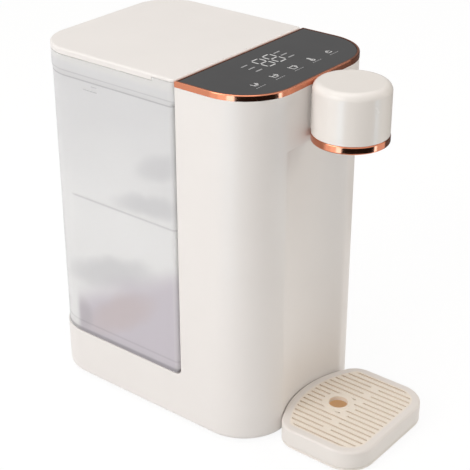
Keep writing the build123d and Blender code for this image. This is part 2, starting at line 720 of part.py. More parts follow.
with BuildPart() as digit_display:
    digit_y = FRONT_Y + DIGIT_SETBACK
    digit_low = (-DIGIT_WIDTH / 2, digit_y - DIGIT_DEPTH / 2, FRAME_BOTTOM)
    block(digit_low, (DIGIT_WIDTH / 2, digit_y + DIGIT_DEPTH / 2, GLASS_BOTTOM - DIGIT_AIR))
digit_display.part.label = "digit_display"

with BuildPart() as touch_contacts:
    with BuildSketch(upright(0, FRONT_Y + PAD_SETBACK, FRAME_BOTTOM)):
        with GridLocations(PAD_PITCH, 0, PAD_COUNT, 1):
            Circle(PAD_R)
    extrude(amount=GLASS_BOTTOM - FRAME_BOTTOM)
touch_contacts.part.label = "touch_contacts"

# Spout head: a round hollow cap with a flat back against the column
with BuildPart() as spout_head:
    bar(upright(0, SPOUT_Y, RING_TOP), SPOUT_RADIUS, BODY_HEIGHT - RING_TOP)
    fillet(spout_head.faces().sort_by(Axis.Z)[-1].edges(), SPOUT_EDGE_R)
    with BuildSketch(upright(0, SPOUT_Y, RING_TOP)) as hollow:
        Circle(SPOUT_RADIUS - SPOUT_WALL)
        with Locations((0, SPOUT_REACH - SPOUT_WALL)):
            Rectangle(BODY_WIDTH, SPOUT_RADIUS, align=(Align.CENTER, Align.MIN), mode=Mode.SUBTRACT)
    extrude(to_extrude=hollow.sketch, amount=BODY_HEIGHT - SPOUT_WALL - RING_TOP, mode=Mode.SUBTRACT)
    neck_low = (-NECK_WIDTH / 2, FRONT_Y - SPOUT_WALL, RING_TOP)
    block(neck_low, (NECK_WIDTH / 2, FRONT_Y, BODY_HEIGHT - NECK_DROP))
    for plane in spout_screw_planes:
        bar(forward(plane.origin.X, FRONT_Y, plane.origin.Z), SPOUT_BOSS_R, SPOUT_BOSS_LENGTH)
    block((-HALF, FRONT_Y, 0), (HALF, SPLIT_Y, BODY_HEIGHT), mode=Mode.SUBTRACT)
    behind_trim = column_plan(COLUMN_TOP - FIT, -TRIM_PROUD - RUN, SPLIT_Y)
    extrude(to_extrude=behind_trim, amount=BODY_HEIGHT - COLUMN_TOP + FIT, mode=Mode.SUBTRACT)
    for plane in spout_screw_planes:
        bar(plane, SCREW_R + RUN, -SCREW_LENGTH - FIT, mode=Mode.SUBTRACT)
    bar(forward(0, FRONT_Y, HOSE_RUN_Z), HOSE_HOLE_R, SPOUT_WALL, mode=Mode.SUBTRACT)
spout_head.part.label = "spout_head"

spout_screws = screw_set(spout_screw_planes)
spout_screws.part.label = "spout_screws"

# Copper-coloured ring round the spout's lower edge
with BuildPart() as spout_ring:
    bar(upright(0, SPOUT_Y, RING_Z), SPOUT_RADIUS + RING_PROUD, RING_HEIGHT)
    fillet(spout_ring.edges().filter_by(GeomType.CIRCLE), RING_EDGE_R)
    bar(upright(0, SPOUT_Y, RING_Z), SPOUT_RADIUS - RING_WIDTH, RING_HEIGHT, Mode.SUBTRACT)
    block((-HALF, FRONT_Y, 0), (HALF, SPLIT_Y, BODY_HEIGHT), mode=Mode.SUBTRACT)
spout_ring.part.label = "spout_ring"

# Plate that closes the spout from below, with the water nozzle in its middle
with BuildPart() as spout_plate:
    bar(upright(0, SPOUT_Y, RING_Z + PLATE_RECESS), SPOUT_RADIUS - RING_WIDTH - RUN, PLATE_THICKNESS)
    block((-HALF, FRONT_Y - RUN, 0), (HALF, SPLIT_Y, BODY_HEIGHT), mode=Mode.SUBTRACT)
    bar(upright(0, SPOUT_Y, RING_Z), NOZZLE_R + RUN, RING_HEIGHT, Mode.SUBTRACT)
spout_plate.part.label = "spout_plate"

with BuildPart() as water_nozzle:
    nozzle_bottom = RING_Z - NOZZLE_DROP
    nozzle_top = PLATE_TOP + NOZZLE_FLANGE + NOZZLE_BARB
    bar(upright(0, SPOUT_Y, nozzle_bottom), NOZZLE_R, PLATE_TOP - nozzle_bottom)
    bar(upright(0, SPOUT_Y, PLATE_TOP), NOZZLE_FLANGE_R, NOZZLE_FLANGE)
    bar(upright(0, SPOUT_Y, PLATE_TOP), BARB_R, nozzle_top - PLATE_TOP)
    bar(upright(0, SPOUT_Y, nozzle_bottom), BARB_BORE_R, nozzle_top - nozzle_bottom, Mode.SUBTRACT)
water_nozzle.part.label = "water_nozzle"

# Seat in the platform that the tank's valve drops into, with the pin that opens it
with BuildPart() as tank_seat:
    bar(upright(0, SEAT_Y, SEAT_BOTTOM), SEAT_R, PLATFORM_TOP - SEAT_BOTTOM)
    bar(upright(0, SEAT_Y, PLATFORM_TOP), SEAT_FLANGE_R, SEAT_FLANGE)
    bar(upright(0, SEAT_Y, SUMP_BOTTOM), SUMP_R, SEAT_BOTTOM - SUMP_BOTTOM)
    bar(forward(0, SEAT_Y - SUMP_R + SUMP_WALL, PUMP_Z), BARB_R, BARB_LENGTH + SUMP_WALL)
    socket_z = SEAT_BOTTOM + SEAT_FLOOR
    socket_depth = PLATFORM_TOP + SEAT_FLANGE - socket_z
    bar(upright(0, SEAT_Y, socket_z), VALVE_R + SEAT_SOCKET_GAP, socket_depth, Mode.SUBTRACT)
    bar(upright(0, SEAT_Y, SUMP_FLOOR), SUMP_R - SUMP_WALL, socket_z - SUMP_FLOOR, Mode.SUBTRACT)
    bar(upright(0, SEAT_Y, SEAL_Z), VALVE_R + SEAL_WIDTH, SEAL_HEIGHT, Mode.SUBTRACT)
    bar(forward(0, SEAT_Y - SUMP_R + SUMP_WALL, PUMP_Z), BARB_BORE_R, BARB_LENGTH + SUMP_WALL, Mode.SUBTRACT)
    bar(upright(0, SEAT_Y, SUMP_FLOOR), PIN_R, STEM_BOTTOM - SUMP_FLOOR)
tank_seat.part.label = "tank_seat"

with BuildPart() as seat_seal:
    bar(upright(0, SEAT_Y, SEAL_Z), VALVE_R + SEAL_WIDTH - RUN, SEAL_HEIGHT)
    bar(upright(0, SEAT_Y, SEAL_Z), VALVE_R + SEAL_GAP, SEAL_HEIGHT, Mode.SUBTRACT)
seat_seal.part.label = "seat_seal"

# Pump, lying along Y in front of the seat: lid with the inlet, volute, impeller, shaft, motor
with BuildPart() as pump_lid:
    bar(forward(0, PUMP_FACE_Y, PUMP_Z), PUMP_R, PUMP_LID)
    bar(forward(0, PUMP_FACE_Y + BARB_LENGTH, PUMP_Z), BARB_R, BARB_LENGTH)
    bar(forward(0, PUMP_FACE_Y + BARB_LENGTH, PUMP_Z), BARB_BORE_R, BARB_LENGTH + PUMP_LID, Mode.SUBTRACT)
pump_lid.part.label = "pump_lid"

with BuildPart() as pump_volute:
    bar(forward(0, VOLUTE_FACE_Y, PUMP_Z), PUMP_R, VOLUTE_LENGTH)
    bar(upright(OUTLET_X, OUTLET_Y, PUMP_Z), BARB_R, OUTLET_TOP - PUMP_Z)
    chamber_length = VOLUTE_LENGTH - VOLUTE_BACK
    bar(forward(0, VOLUTE_FACE_Y, PUMP_Z), PUMP_R - VOLUTE_WALL, chamber_length, Mode.SUBTRACT)
    bar(upright(OUTLET_X, OUTLET_Y, PUMP_Z), BARB_BORE_R, OUTLET_TOP - PUMP_Z, Mode.SUBTRACT)
    bar(forward(0, VOLUTE_FACE_Y, PUMP_Z), SHAFT_R + RUN, VOLUTE_LENGTH, Mode.SUBTRACT)
pump_volute.part.label = "pump_volute"

with BuildPart() as pump_impeller:
    disc_y = MOTOR_FACE_Y + VOLUTE_BACK + IMPELLER_GAP
    blade_face = disc_y + IMPELLER_HEIGHT
    bar(forward(0, disc_y + IMPELLER_DISC, PUMP_Z), IMPELLER_R, IMPELLER_DISC)
    bar(forward(0, blade_face, PUMP_Z), IMPELLER_HUB_R, IMPELLER_HEIGHT)
    with BuildSketch(forward(0, blade_face, PUMP_Z)):
        with PolarLocations(IMPELLER_HUB_R / 2, BLADE_COUNT):
            Rectangle(IMPELLER_R - IMPELLER_HUB_R, BLADE_WIDTH, align=(Align.MIN, Align.CENTER))
    extrude(amount=IMPELLER_HEIGHT)
    bar(forward(0, blade_face, PUMP_Z), SHAFT_R + RUN, IMPELLER_HEIGHT, Mode.SUBTRACT)
pump_impeller.part.label = "pump_impeller"

with BuildPart() as pump_shaft:
    bar(forward(0, blade_face, PUMP_Z), SHAFT_R, blade_face - MOTOR_FACE_Y + SHAFT_IN_MOTOR)
pump_shaft.part.label = "pump_shaft"

with BuildPart() as pump_motor:
    bar(forward(0, MOTOR_FACE_Y, PUMP_Z), PUMP_R, MOTOR_LENGTH)
    bar(forward(0, MOTOR_FACE_Y, PUMP_Z), SHAFT_R + RUN, SHAFT_IN_MOTOR + MOVE, Mode.SUBTRACT)
pump_motor.part.label = "pump_motor"

with BuildPart() as pump_cradle:
    cradle_low = (-CRADLE_WIDTH / 2, VOLUTE_FACE_Y - CRADLE_LENGTH, BASE_INSIDE)
    block(cradle_low, (CRADLE_WIDTH / 2, VOLUTE_FACE_Y, CRADLE_TOP))
    bar(forward(0, PUMP_FACE_Y, PUMP_Z), PUMP_R + RUN, CRADLE_LENGTH + PUMP_LID, Mode.SUBTRACT)
pump_cradle.part.label = "pump_cradle"

# Instant heater: steel tube between two caps, clamped to the rear cover
with BuildPart() as heater_tube:
    bar(upright(HEATER_X, HEATER_Y, HEATER_BOTTOM), HEATER_R, HEATER_LENGTH)
    bar(upright(HEATER_X, HEATER_Y, HEATER_BOTTOM), HEATER_R - HEATER_WALL, HEATER_LENGTH, Mode.SUBTRACT)
heater_tube.part.label = "heater_tube"

CAP_R = HEATER_R + CAP_WALL
LOWER_BARB_Z = HEATER_BOTTOM - CAP_END - BARB_LENGTH
UPPER_BARB_Z = HEATER_TOP + CAP_END + BARB_LENGTH
PROBE_Z = HEATER_TOP + CAP_END / 2


def heater_cap(end_z, inward):
    """End cap of the heater tube: a socket over the tube and a barb for the hose."""
    end = Plane(origin=(HEATER_X, HEATER_Y, end_z), z_dir=(0, 0, inward))
    with BuildPart() as cap:
        bar(end.offset(-CAP_END), CAP_R, CAP_END + CAP_SOCKET)
        bar(end, HEATER_R + RUN, CAP_SOCKET, Mode.SUBTRACT)
        bar(end.offset(-CAP_END - BARB_LENGTH), BARB_R, BARB_LENGTH + CAP_END)
        bar(end.offset(-CAP_END - BARB_LENGTH), BARB_BORE_R, BARB_LENGTH + CAP_END, Mode.SUBTRACT)
    return cap


heater_lower_cap = heater_cap(HEATER_BOTTOM, 1)
heater_lower_cap.part.label = "heater_lower_cap"

PROBE_START_Y = HEATER_Y - CAP_R + PROBE_INSET
with BuildPart() as heater_upper_cap:
    add(heater_cap(HEATER_TOP, -1).part)
    bar(forward(HEATER_X, PROBE_START_Y, PROBE_Z), PROBE_R + RUN, PROBE_INSET, Mode.SUBTRACT)
heater_upper_cap.part.label = "heater_upper_cap"

CLAMP_INSET = CAP_SOCKET + CLAMP_GAP

with BuildPart() as heater_clamps:
    for clamp_z in (HEATER_BOTTOM + CLAMP_INSET, HEATER_TOP - CLAMP_INSET - CLAMP_HEIGHT):
        bar(upright(HEATER_X, HEATER_Y, clamp_z), HEATER_R + CLAMP_WALL, CLAMP_HEIGHT)
        foot_low = (HEATER_X - CLAMP_FOOT_WIDTH / 2, HEATER_Y, clamp_z)
        block(foot_low, (HEATER_X + CLAMP_FOOT_WIDTH / 2, COVER_Y, clamp_z + CLAMP_HEIGHT))
        bar(upright(HEATER_X, HEATER_Y, clamp_z), HEATER_R + RUN, CLAMP_HEIGHT, Mode.SUBTRACT)
heater_clamps.part.label = "heater_clamps"

with BuildPart() as thermal_cutouts:
    for z in (HEATER_MIDDLE - CUTOUT_PITCH / 2, HEATER_MIDDLE + CUTOUT_PITCH / 2):
        bar(forward(HEATER_X, HEATER_Y, z), CUTOUT_R, HEATER_R + CUTOUT_THICKNESS)
    bar(upright(HEATER_X, HEATER_Y, HEATER_BOTTOM), HEATER_R + RUN, HEATER_LENGTH, Mode.SUBTRACT)
thermal_cutouts.part.label = "thermal_cutouts"

with BuildPart() as temperature_probe:
    bar(forward(HEATER_X, PROBE_START_Y, PROBE_Z), PROBE_R, PROBE_LENGTH)
temperature_probe.part.label = "temperature_probe"

# Power board and what is soldered to it
with BuildPart() as power_board:
    power_low = (POWER_X - POWER_WIDTH / 2, POWER_FACE_Y, POWER_Z - POWER_HEIGHT / 2)
    block(power_low, (POWER_X + POWER_WIDTH / 2, COVER_Y - POWER_STAND, POWER_Z + POWER_HEIGHT / 2))
power_board.part.label = "power_board"


def on_power_board(size, place):
    """Box soldered to the front of the power board, given by its size and its place from the board's middle."""
    width, depth, height = size
    x = POWER_X + place[0]
    z = POWER_Z + place[1]
    block((x - width / 2, POWER_FACE_Y - depth, z - height / 2), (x + width / 2, POWER_FACE_Y, z + height / 2))


with BuildPart() as power_transformer:
    on_power_board(TRANSFORMER, TRANSFORMER_AT)
power_transformer.part.label = "power_transformer"

with BuildPart() as heater_relay:
    on_power_board(RELAY, RELAY_AT)
heater_relay.part.label = "heater_relay"

with BuildPart() as heat_sink:
    on_power_board((SINK[0], SINK_BASE, SINK[2]), SINK_AT)
    with BuildSketch(forward(POWER_X + SINK_AT[0], POWER_FACE_Y - SINK_BASE, POWER_Z + SINK_AT[1])):
        with GridLocations((SINK[0] - FIN_WIDTH) / (FIN_COUNT - 1), 0, FIN_COUNT, 1):
            Rectangle(FIN_WIDTH, SINK[2])
    extrude(amount=SINK[1] - SINK_BASE)
heat_sink.part.label = "heat_sink"

with BuildPart() as mains_capacitor:
    capacitor_plane = forward(POWER_X + CAPACITOR_AT[0], POWER_FACE_Y, POWER_Z + CAPACITOR_AT[1])
    bar(capacitor_plane, CAPACITOR_R, CAPACITOR_LENGTH)
mains_capacitor.part.label = "mains_capacitor"

# Flat cable from the power board up to the display board
with BuildPart() as display_cable:
    cable_low = (CABLE_X - CABLE_WIDTH / 2, POWER_FACE_Y - CABLE_THICKNESS, POWER_Z + POWER_HEIGHT / 2 - CABLE_LAP)
    block(cable_low, (CABLE_X + CABLE_WIDTH / 2, POWER_FACE_Y, BOARD_BOTTOM))
display_cable.part.label = "display_cable"

# Sensor behind the rear cover that feels the float's magnet
with BuildPart() as level_sensor:
    sensor_z = FLOAT_BOTTOM + FLOAT_HEIGHT / 2
    sensor_low = (FLOAT_X - SENSOR[0] / 2, COVER_Y - SENSOR[1], sensor_z - SENSOR[2] / 2)
    block(sensor_low, (FLOAT_X + SENSOR[0] / 2, COVER_Y, sensor_z + SENSOR[2] / 2))
level_sensor.part.label = "level_sensor"

# Hoses: seat to pump, pump to heater, heater to nozzle
inlet_hose = hose([(0, SEAT_BARB_END + BARB_LENGTH - FIT, PUMP_Z), (0, PUMP_FACE_Y + FIT, PUMP_Z)], 0)
inlet_hose.part.label = "inlet_hose"

CROSS_Z = (OUTLET_TOP + LOWER_BARB_Z) / 2
pump_hose_points = [
    (OUTLET_X, OUTLET_Y, PUMP_Z + PUMP_R + FIT),
    (OUTLET_X, OUTLET_Y, CROSS_Z),
    (HEATER_X, HEATER_Y, CROSS_Z),
    (HEATER_X, HEATER_Y, LOWER_BARB_Z + BARB_LENGTH - FIT),
]
pump_hose = hose(pump_hose_points, PUMP_HOSE_BEND_R)
pump_hose.part.label = "pump_hose"

outlet_hose_points = [
    (HEATER_X, HEATER_Y, UPPER_BARB_Z - BARB_LENGTH + FIT),
    (HEATER_X, HEATER_Y, HOSE_RUN_Z),
    (0, HOSE_TURN_Y, HOSE_RUN_Z),
    (0, SPOUT_Y, HOSE_RUN_Z),
    (0, SPOUT_Y, PLATE_TOP + NOZZLE_FLANGE + FIT),
]
outlet_hose = hose(outlet_hose_points, HOSE_BEND_R)
outlet_hose.part.label = "outlet_hose"

# Clear tank with a wider rim; its front corners and rear edge rise into gaps of the lid's skirt
REAR_TOP = RIM_TOP + REAR_RISE
HINGE_SLOT_Z = HINGE_Z - KNUCKLE_R - HINGE_SLOT_GAP
with BuildPart() as tank_shell:
    extrude(to_extrude=tank_plan(PLATFORM_TOP, TANK_INSET, TANK_FRONT), amount=RIM_LOW - PLATFORM_TOP)
    loft(sections=[tank_plan(RIM_LOW, TANK_INSET, TANK_FRONT), tank_plan(RIM_HIGH, RIM_INSET, LID_FRONT)])
    extrude(to_extrude=tank_plan(RIM_HIGH, RIM_INSET, LID_FRONT), amount=RIM_TOP - RIM_HIGH)
    with BuildSketch(Plane.XY.offset(RIM_TOP)) as rear_rise:
        add(tank_plan(0, RIM_INSET, LID_FRONT))
        with Locations((0, BACK_Y - REAR_OPEN)):
            Rectangle(2 * (REAR_OPEN_HALF - REAR_OPEN_GAP), BODY_DEPTH, align=(Align.CENTER, Align.MIN), mode=Mode.INTERSECT)
    extrude(to_extrude=rear_rise.sketch, amount=REAR_RISE)
    rear_edge = tank_shell.edges().filter_by(Axis.X).group_by(Axis.Z)[-1].sort_by(Axis.Y)[-1]
    fillet(rear_edge, REAR_RISE_EDGE_R)
    with BuildSketch(Plane.XY.offset(RIM_TOP)) as front_rise:
        add(tank_plan(0, RIM_INSET, LID_FRONT))
        with Locations((0, NOTCH_Y - MOVE)):
            Rectangle(BODY_WIDTH, BODY_DEPTH, align=(Align.CENTER, Align.MAX), mode=Mode.INTERSECT)
    extrude(to_extrude=front_rise.sketch, amount=EAR_TOP - RIM_TOP)
    hollow_plan = tank_plan(TANK_INSIDE_Z, TANK_INNER, TANK_INNER_FRONT)
    extrude(to_extrude=hollow_plan, amount=BODY_HEIGHT - TANK_INSIDE_Z, mode=Mode.SUBTRACT)
    recess = tank_plan(PLATFORM_TOP, TANK_INNER, TANK_FRONT + TANK_CORNER_R + TANK_WALL)
    extrude(to_extrude=recess, amount=TANK_SKIRT, mode=Mode.SUBTRACT)
    corner_points = [(TANK_FRONT, PLATFORM_TOP)]
    for angle in TANK_CORNER_ANGLES:
        corner_y = TANK_FRONT + TANK_CORNER_R * (1 + math.cos(math.radians(angle)))
        corner_z = PLATFORM_TOP + TANK_CORNER_R * (1 + math.sin(math.radians(angle)))
        corner_points.append((corner_y, corner_z))
    with BuildSketch(Plane.YZ.offset(-HALF)) as corner:
        Polygon(*corner_points, align=None)
    extrude(to_extrude=corner.sketch, amount=BODY_WIDTH, mode=Mode.SUBTRACT)
    bar(upright(0, SEAT_Y, PLATFORM_TOP), VALVE_R + RUN, TANK_INSIDE_Z - PLATFORM_TOP, Mode.SUBTRACT)
    block_half = KNUCKLE_WIDTH / 2 + HINGE_BLOCK_WALL
    block_front = BACK_Y - TANK_INNER - HINGE_BLOCK_DEPTH
    for x in (-KNUCKLE_X, KNUCKLE_X):
        block_low = (x - block_half, block_front, REAR_TOP - HINGE_BLOCK_HEIGHT)
        block(block_low, (x + block_half, BACK_Y - TANK_INNER, REAR_TOP))
        slot_low = (x - KNUCKLE_WIDTH / 2 - MOVE, block_front, HINGE_SLOT_Z)
        block(slot_low, (x + KNUCKLE_WIDTH / 2 + MOVE, BACK_Y, BODY_HEIGHT), mode=Mode.SUBTRACT)
        pin_plane = Plane(origin=(x - HINGE_PIN_LENGTH / 2, HINGE_Y, HINGE_Z), z_dir=(1, 0, 0))
        bar(pin_plane, HINGE_PIN_R + RUN, HINGE_PIN_LENGTH, Mode.SUBTRACT)
tank_shell.part.label = "tank_shell"

with BuildPart() as lid_hinge_pins:
    for x in (-KNUCKLE_X, KNUCKLE_X):
        pin_plane = Plane(origin=(x - HINGE_PIN_LENGTH / 2, HINGE_Y, HINGE_Z), z_dir=(1, 0, 0))
        bar(pin_plane, HINGE_PIN_R, HINGE_PIN_LENGTH)
lid_hinge_pins.part.label = "lid_hinge_pins"

# Lid with a short skirt, a plug that drops into the tank and two hinge knuckles
with BuildPart() as lid:
    extrude(to_extrude=tank_plan(LID_UNDER, LID_INSET, LID_FRONT), amount=LID_PLATE)
    fillet(lid.faces().sort_by(Axis.Z)[-1].edges(), LID_EDGE_R)
    with BuildSketch(Plane.XY.offset(LID_UNDER - LID_SKIRT)) as skirt:
        add(tank_plan(0, LID_INSET, LID_FRONT))
        add(tank_plan(0, LID_INSET + LID_SKIRT_WALL, LID_FRONT), mode=Mode.SUBTRACT)
        with Locations((0, NOTCH_Y)):
            Rectangle(BODY_WIDTH, BODY_DEPTH, align=(Align.CENTER, Align.MAX), mode=Mode.SUBTRACT)
        with Locations((0, BACK_Y - REAR_OPEN)):
            Rectangle(2 * REAR_OPEN_HALF, BODY_DEPTH, align=(Align.CENTER, Align.MIN), mode=Mode.SUBTRACT)
    extrude(to_extrude=skirt.sketch, amount=LID_SKIRT)
    with BuildSketch(Plane.XY.offset(LID_UNDER - LID_PLUG_DEPTH)) as plug:
        add(plug_plan(0, 0))
        add(plug_plan(0, LID_PLUG_WALL), mode=Mode.SUBTRACT)
    extrude(to_extrude=plug.sketch, amount=LID_PLUG_DEPTH)
    for x in (-KNUCKLE_X, KNUCKLE_X):
        knuckle_plane = Plane(origin=(x - KNUCKLE_WIDTH / 2, HINGE_Y, HINGE_Z), z_dir=(1, 0, 0))
        bar(knuckle_plane, KNUCKLE_R, KNUCKLE_WIDTH)
        web_low = (x - KNUCKLE_WIDTH / 2, HINGE_Y - HINGE_WEB_REAR, HINGE_Z)
        block(web_low, (x + KNUCKLE_WIDTH / 2, HINGE_Y + HINGE_WEB_REAR, LID_UNDER))
        bar(knuckle_plane, HINGE_PIN_R + RUN, KNUCKLE_WIDTH, Mode.SUBTRACT)
lid.part.label = "lid"

with BuildPart() as lid_seal:
    with BuildSketch(Plane.XY.offset(LID_UNDER - LID_PLUG_DEPTH + LID_SEAL_RISE)) as band:
        add(plug_plan(0, MOVE - LID_PLUG_GAP))
        add(plug_plan(0, -RUN), mode=Mode.SUBTRACT)
    extrude(to_extrude=band.sketch, amount=LID_SEAL_HEIGHT)
lid_seal.part.label = "lid_seal"

# Valve in the tank floor: the seat's pin holds it open while the tank is in place
GUIDE_Z = VALVE_TOP - GUIDE_THICKNESS
with BuildPart() as valve_body:
    bar(upright(0, SEAT_Y, VALVE_BOTTOM), VALVE_R, VALVE_TOP - VALVE_BOTTOM)
    bar(upright(0, SEAT_Y, FLANGE_TOP - VALVE_FLANGE), VALVE_FLANGE_R, VALVE_FLANGE)
    bar(upright(0, SEAT_Y, VALVE_SEAT_Z), VALVE_R - VALVE_WALL, VALVE_TOP - VALVE_SEAT_Z, Mode.SUBTRACT)
    bar(upright(0, SEAT_Y, VALVE_BOTTOM), VALVE_PORT_R, VALVE_PLATE, Mode.SUBTRACT)
valve_body.part.label = "valve_body"

with BuildPart() as valve_gasket:
    bar(upright(0, SEAT_Y, TANK_INSIDE_Z), VALVE_FLANGE_R, GASKET)
    bar(upright(0, SEAT_Y, TANK_INSIDE_Z), VALVE_R + RUN, GASKET, Mode.SUBTRACT)
valve_gasket.part.label = "valve_gasket"

with BuildPart() as valve_guide:
    bar(upright(0, SEAT_Y, GUIDE_Z), VALVE_R - VALVE_WALL - RUN, GUIDE_THICKNESS)
    bar(upright(0, SEAT_Y, GUIDE_Z), STEM_R + RUN, GUIDE_THICKNESS, Mode.SUBTRACT)
    with BuildSketch(upright(0, SEAT_Y, GUIDE_Z)) as ports:
        with PolarLocations(GUIDE_PORT_CIRCLE, GUIDE_PORT_COUNT):
            Circle(GUIDE_PORT_R)
    extrude(to_extrude=ports.sketch, amount=GUIDE_THICKNESS, mode=Mode.SUBTRACT)
valve_guide.part.label = "valve_guide"

with BuildPart() as valve_plunger:
    stem_top = HEAD_Z + HEAD_THICKNESS + STEM_RISE
    bar(upright(0, SEAT_Y, STEM_BOTTOM), STEM_R, stem_top - STEM_BOTTOM)
    bar(upright(0, SEAT_Y, HEAD_Z), HEAD_R, HEAD_THICKNESS)
valve_plunger.part.label = "valve_plunger"

with BuildPart() as valve_seal:
    bar(upright(0, SEAT_Y, HEAD_Z - VALVE_SEAL), HEAD_R, VALVE_SEAL)
    bar(upright(0, SEAT_Y, HEAD_Z - VALVE_SEAL), STEM_R + RUN, VALVE_SEAL, Mode.SUBTRACT)
valve_seal.part.label = "valve_seal"

with BuildPart() as valve_spring:
    spring_z = HEAD_Z + HEAD_THICKNESS
    bar(upright(0, SEAT_Y, spring_z), SPRING_R, GUIDE_Z - spring_z)
    bar(upright(0, SEAT_Y, spring_z), SPRING_R - SPRING_WALL, GUIDE_Z - spring_z, Mode.SUBTRACT)
valve_spring.part.label = "valve_spring"

# Slotted cup over the valve that keeps dirt out of the pump
with BuildPart() as inlet_filter:
    bar(upright(0, SEAT_Y, FLANGE_TOP), VALVE_FLANGE_R, FILTER_HEIGHT)
    bar(upright(0, SEAT_Y, FLANGE_TOP), VALVE_FLANGE_R - FILTER_WALL, FILTER_HEIGHT - FILTER_WALL, Mode.SUBTRACT)
    with BuildSketch(upright(0, SEAT_Y, FLANGE_TOP + FILTER_SLOT_RISE)) as slits:
        with PolarLocations(VALVE_FLANGE_R, FILTER_SLOTS):
            Rectangle(3 * FILTER_WALL, FILTER_SLOT_WIDTH)
    extrude(to_extrude=slits.sketch, amount=FILTER_SLOT_HEIGHT, mode=Mode.SUBTRACT)
inlet_filter.part.label = "inlet_filter"

# Float with a magnet, captive in a cage at the tank's front wall
CAGE_LOW = Vector(FLOAT_X - CAGE_WIDTH / 2, CAGE_Y, TANK_INSIDE_Z)
CAGE_HIGH = CAGE_LOW + Vector(CAGE_WIDTH, CAGE_DEPTH, CAGE_HEIGHT)
CAGE_SKIN = Vector(CAGE_WALL, CAGE_WALL, CAGE_WALL)
with BuildPart() as float_cage:
    block(CAGE_LOW, CAGE_HIGH)
    block(CAGE_LOW + CAGE_SKIN, CAGE_HIGH - CAGE_SKIN, mode=Mode.SUBTRACT)
    window = Vector(0, CAGE_BAR, CAGE_BAR)
    block(CAGE_LOW + window, CAGE_HIGH - window, mode=Mode.SUBTRACT)
    rear_window = Vector(CAGE_BAR, CAGE_BAR, CAGE_BAR)
    block(CAGE_LOW + rear_window, CAGE_HIGH - Vector(CAGE_BAR, 0, CAGE_BAR), mode=Mode.SUBTRACT)
float_cage.part.label = "float_cage"

FLOAT_LOW = CAGE_LOW + CAGE_SKIN + Vector(MOVE, MOVE, MOVE)
FLOAT_SIZE = Vector(CAGE_WIDTH, CAGE_DEPTH, 0) - Vector(1, 1, 0) * 2 * (CAGE_WALL + MOVE) + Vector(0, 0, FLOAT_HEIGHT)
with BuildPart() as level_float:
    block(FLOAT_LOW, FLOAT_LOW + FLOAT_SIZE)
    fillet(level_float.edges().filter_by(Axis.Z), FLOAT_EDGE_R)
    magnet_plane = forward(FLOAT_X, FLOAT_LOW.Y + MAGNET_THICKNESS, FLOAT_BOTTOM + FLOAT_HEIGHT / 2)
    bar(magnet_plane, MAGNET_R + RUN, MAGNET_THICKNESS, Mode.SUBTRACT)
level_float.part.label = "level_float"

with BuildPart() as float_magnet:
    bar(magnet_plane, MAGNET_R, MAGNET_THICKNESS)
float_magnet.part.label = "float_magnet"

# Drip tray bowl on a wider foot, which slides into the front channel
with BuildPart() as drip_tray:
    extrude(to_extrude=tray_plan(TRAY_BOTTOM, 0), amount=TRAY_FLANGE)
    fillet(drip_tray.faces().sort_by(Axis.Z)[0].edges(), TRAY_EDGE_R)
    extrude(to_extrude=tray_plan(TRAY_BOTTOM + TRAY_FLOOR, BOWL_INSET), amount=TRAY_RIM - TRAY_BOTTOM - TRAY_FLOOR)
    bowl = tray_plan(TRAY_BOTTOM + TRAY_FLOOR, BOWL_INSET + TRAY_WALL)
    extrude(to_extrude=bowl, amount=TRAY_RIM - TRAY_BOTTOM - TRAY_FLOOR, mode=Mode.SUBTRACT)
    for x, y in PAD_FOOT_POINTS:
        bar(upright(x, y, TRAY_BOTTOM), PAD_FOOT_R + FIT, PAD_FOOT_SEAT, Mode.SUBTRACT)
drip_tray.part.label = "drip_tray"

with BuildPart() as tray_feet:
    for x, y in PAD_FOOT_POINTS:
        bar(upright(x, y, 0), PAD_FOOT_R, TRAY_BOTTOM + PAD_FOOT_SEAT)
tray_feet.part.label = "tray_feet"

# Slotted cap over the bowl, with a drain hole right under the nozzle
with BuildPart() as tray_grille:
    extrude(to_extrude=tray_plan(SKIRT_Z, 0), amount=TRAY_TOP - SKIRT_Z)
    fillet(tray_grille.faces().sort_by(Axis.Z)[-1].edges(), GRILLE_EDGE_R)
    extrude(to_extrude=tray_plan(SKIRT_Z, GRILLE_SKIRT), amount=TRAY_RIM - SKIRT_Z, mode=Mode.SUBTRACT)
    with BuildSketch(Plane.XY.offset(TRAY_RIM)) as slots:
        with Locations((0, (FRONT_Y + TRAY_FRONT_Y) / 2)):
            with GridLocations(SLOT_PITCH, 0, SLOT_COUNT, 1):
                Rectangle(SLOT_WIDTH, TRAY_REACH)
        add(tray_plan(0, SLOT_MARGIN), mode=Mode.INTERSECT)
        with Locations((0, DRAIN_Y)):
            Circle(DRAIN_RING_R, mode=Mode.SUBTRACT)
        with Locations((0, DRAIN_Y - BREAK_FORWARD)):
            with GridLocations(2 * SLOT_PITCH, 0, BREAK_COUNT, 1):
                Rectangle(SLOT_PITCH, BREAK_LENGTH, mode=Mode.SUBTRACT)
    extrude(to_extrude=slots.sketch, amount=GRILLE_THICKNESS, mode=Mode.SUBTRACT)
    bar(upright(0, DRAIN_Y, TRAY_TOP), DRAIN_R + DRAIN_BEAD, DRAIN_BEAD_HEIGHT)
    bar(upright(0, DRAIN_Y, TRAY_RIM), DRAIN_R, GRILLE_THICKNESS + DRAIN_BEAD_HEIGHT, Mode.SUBTRACT)
tray_grille.part.label = "tray_grille"

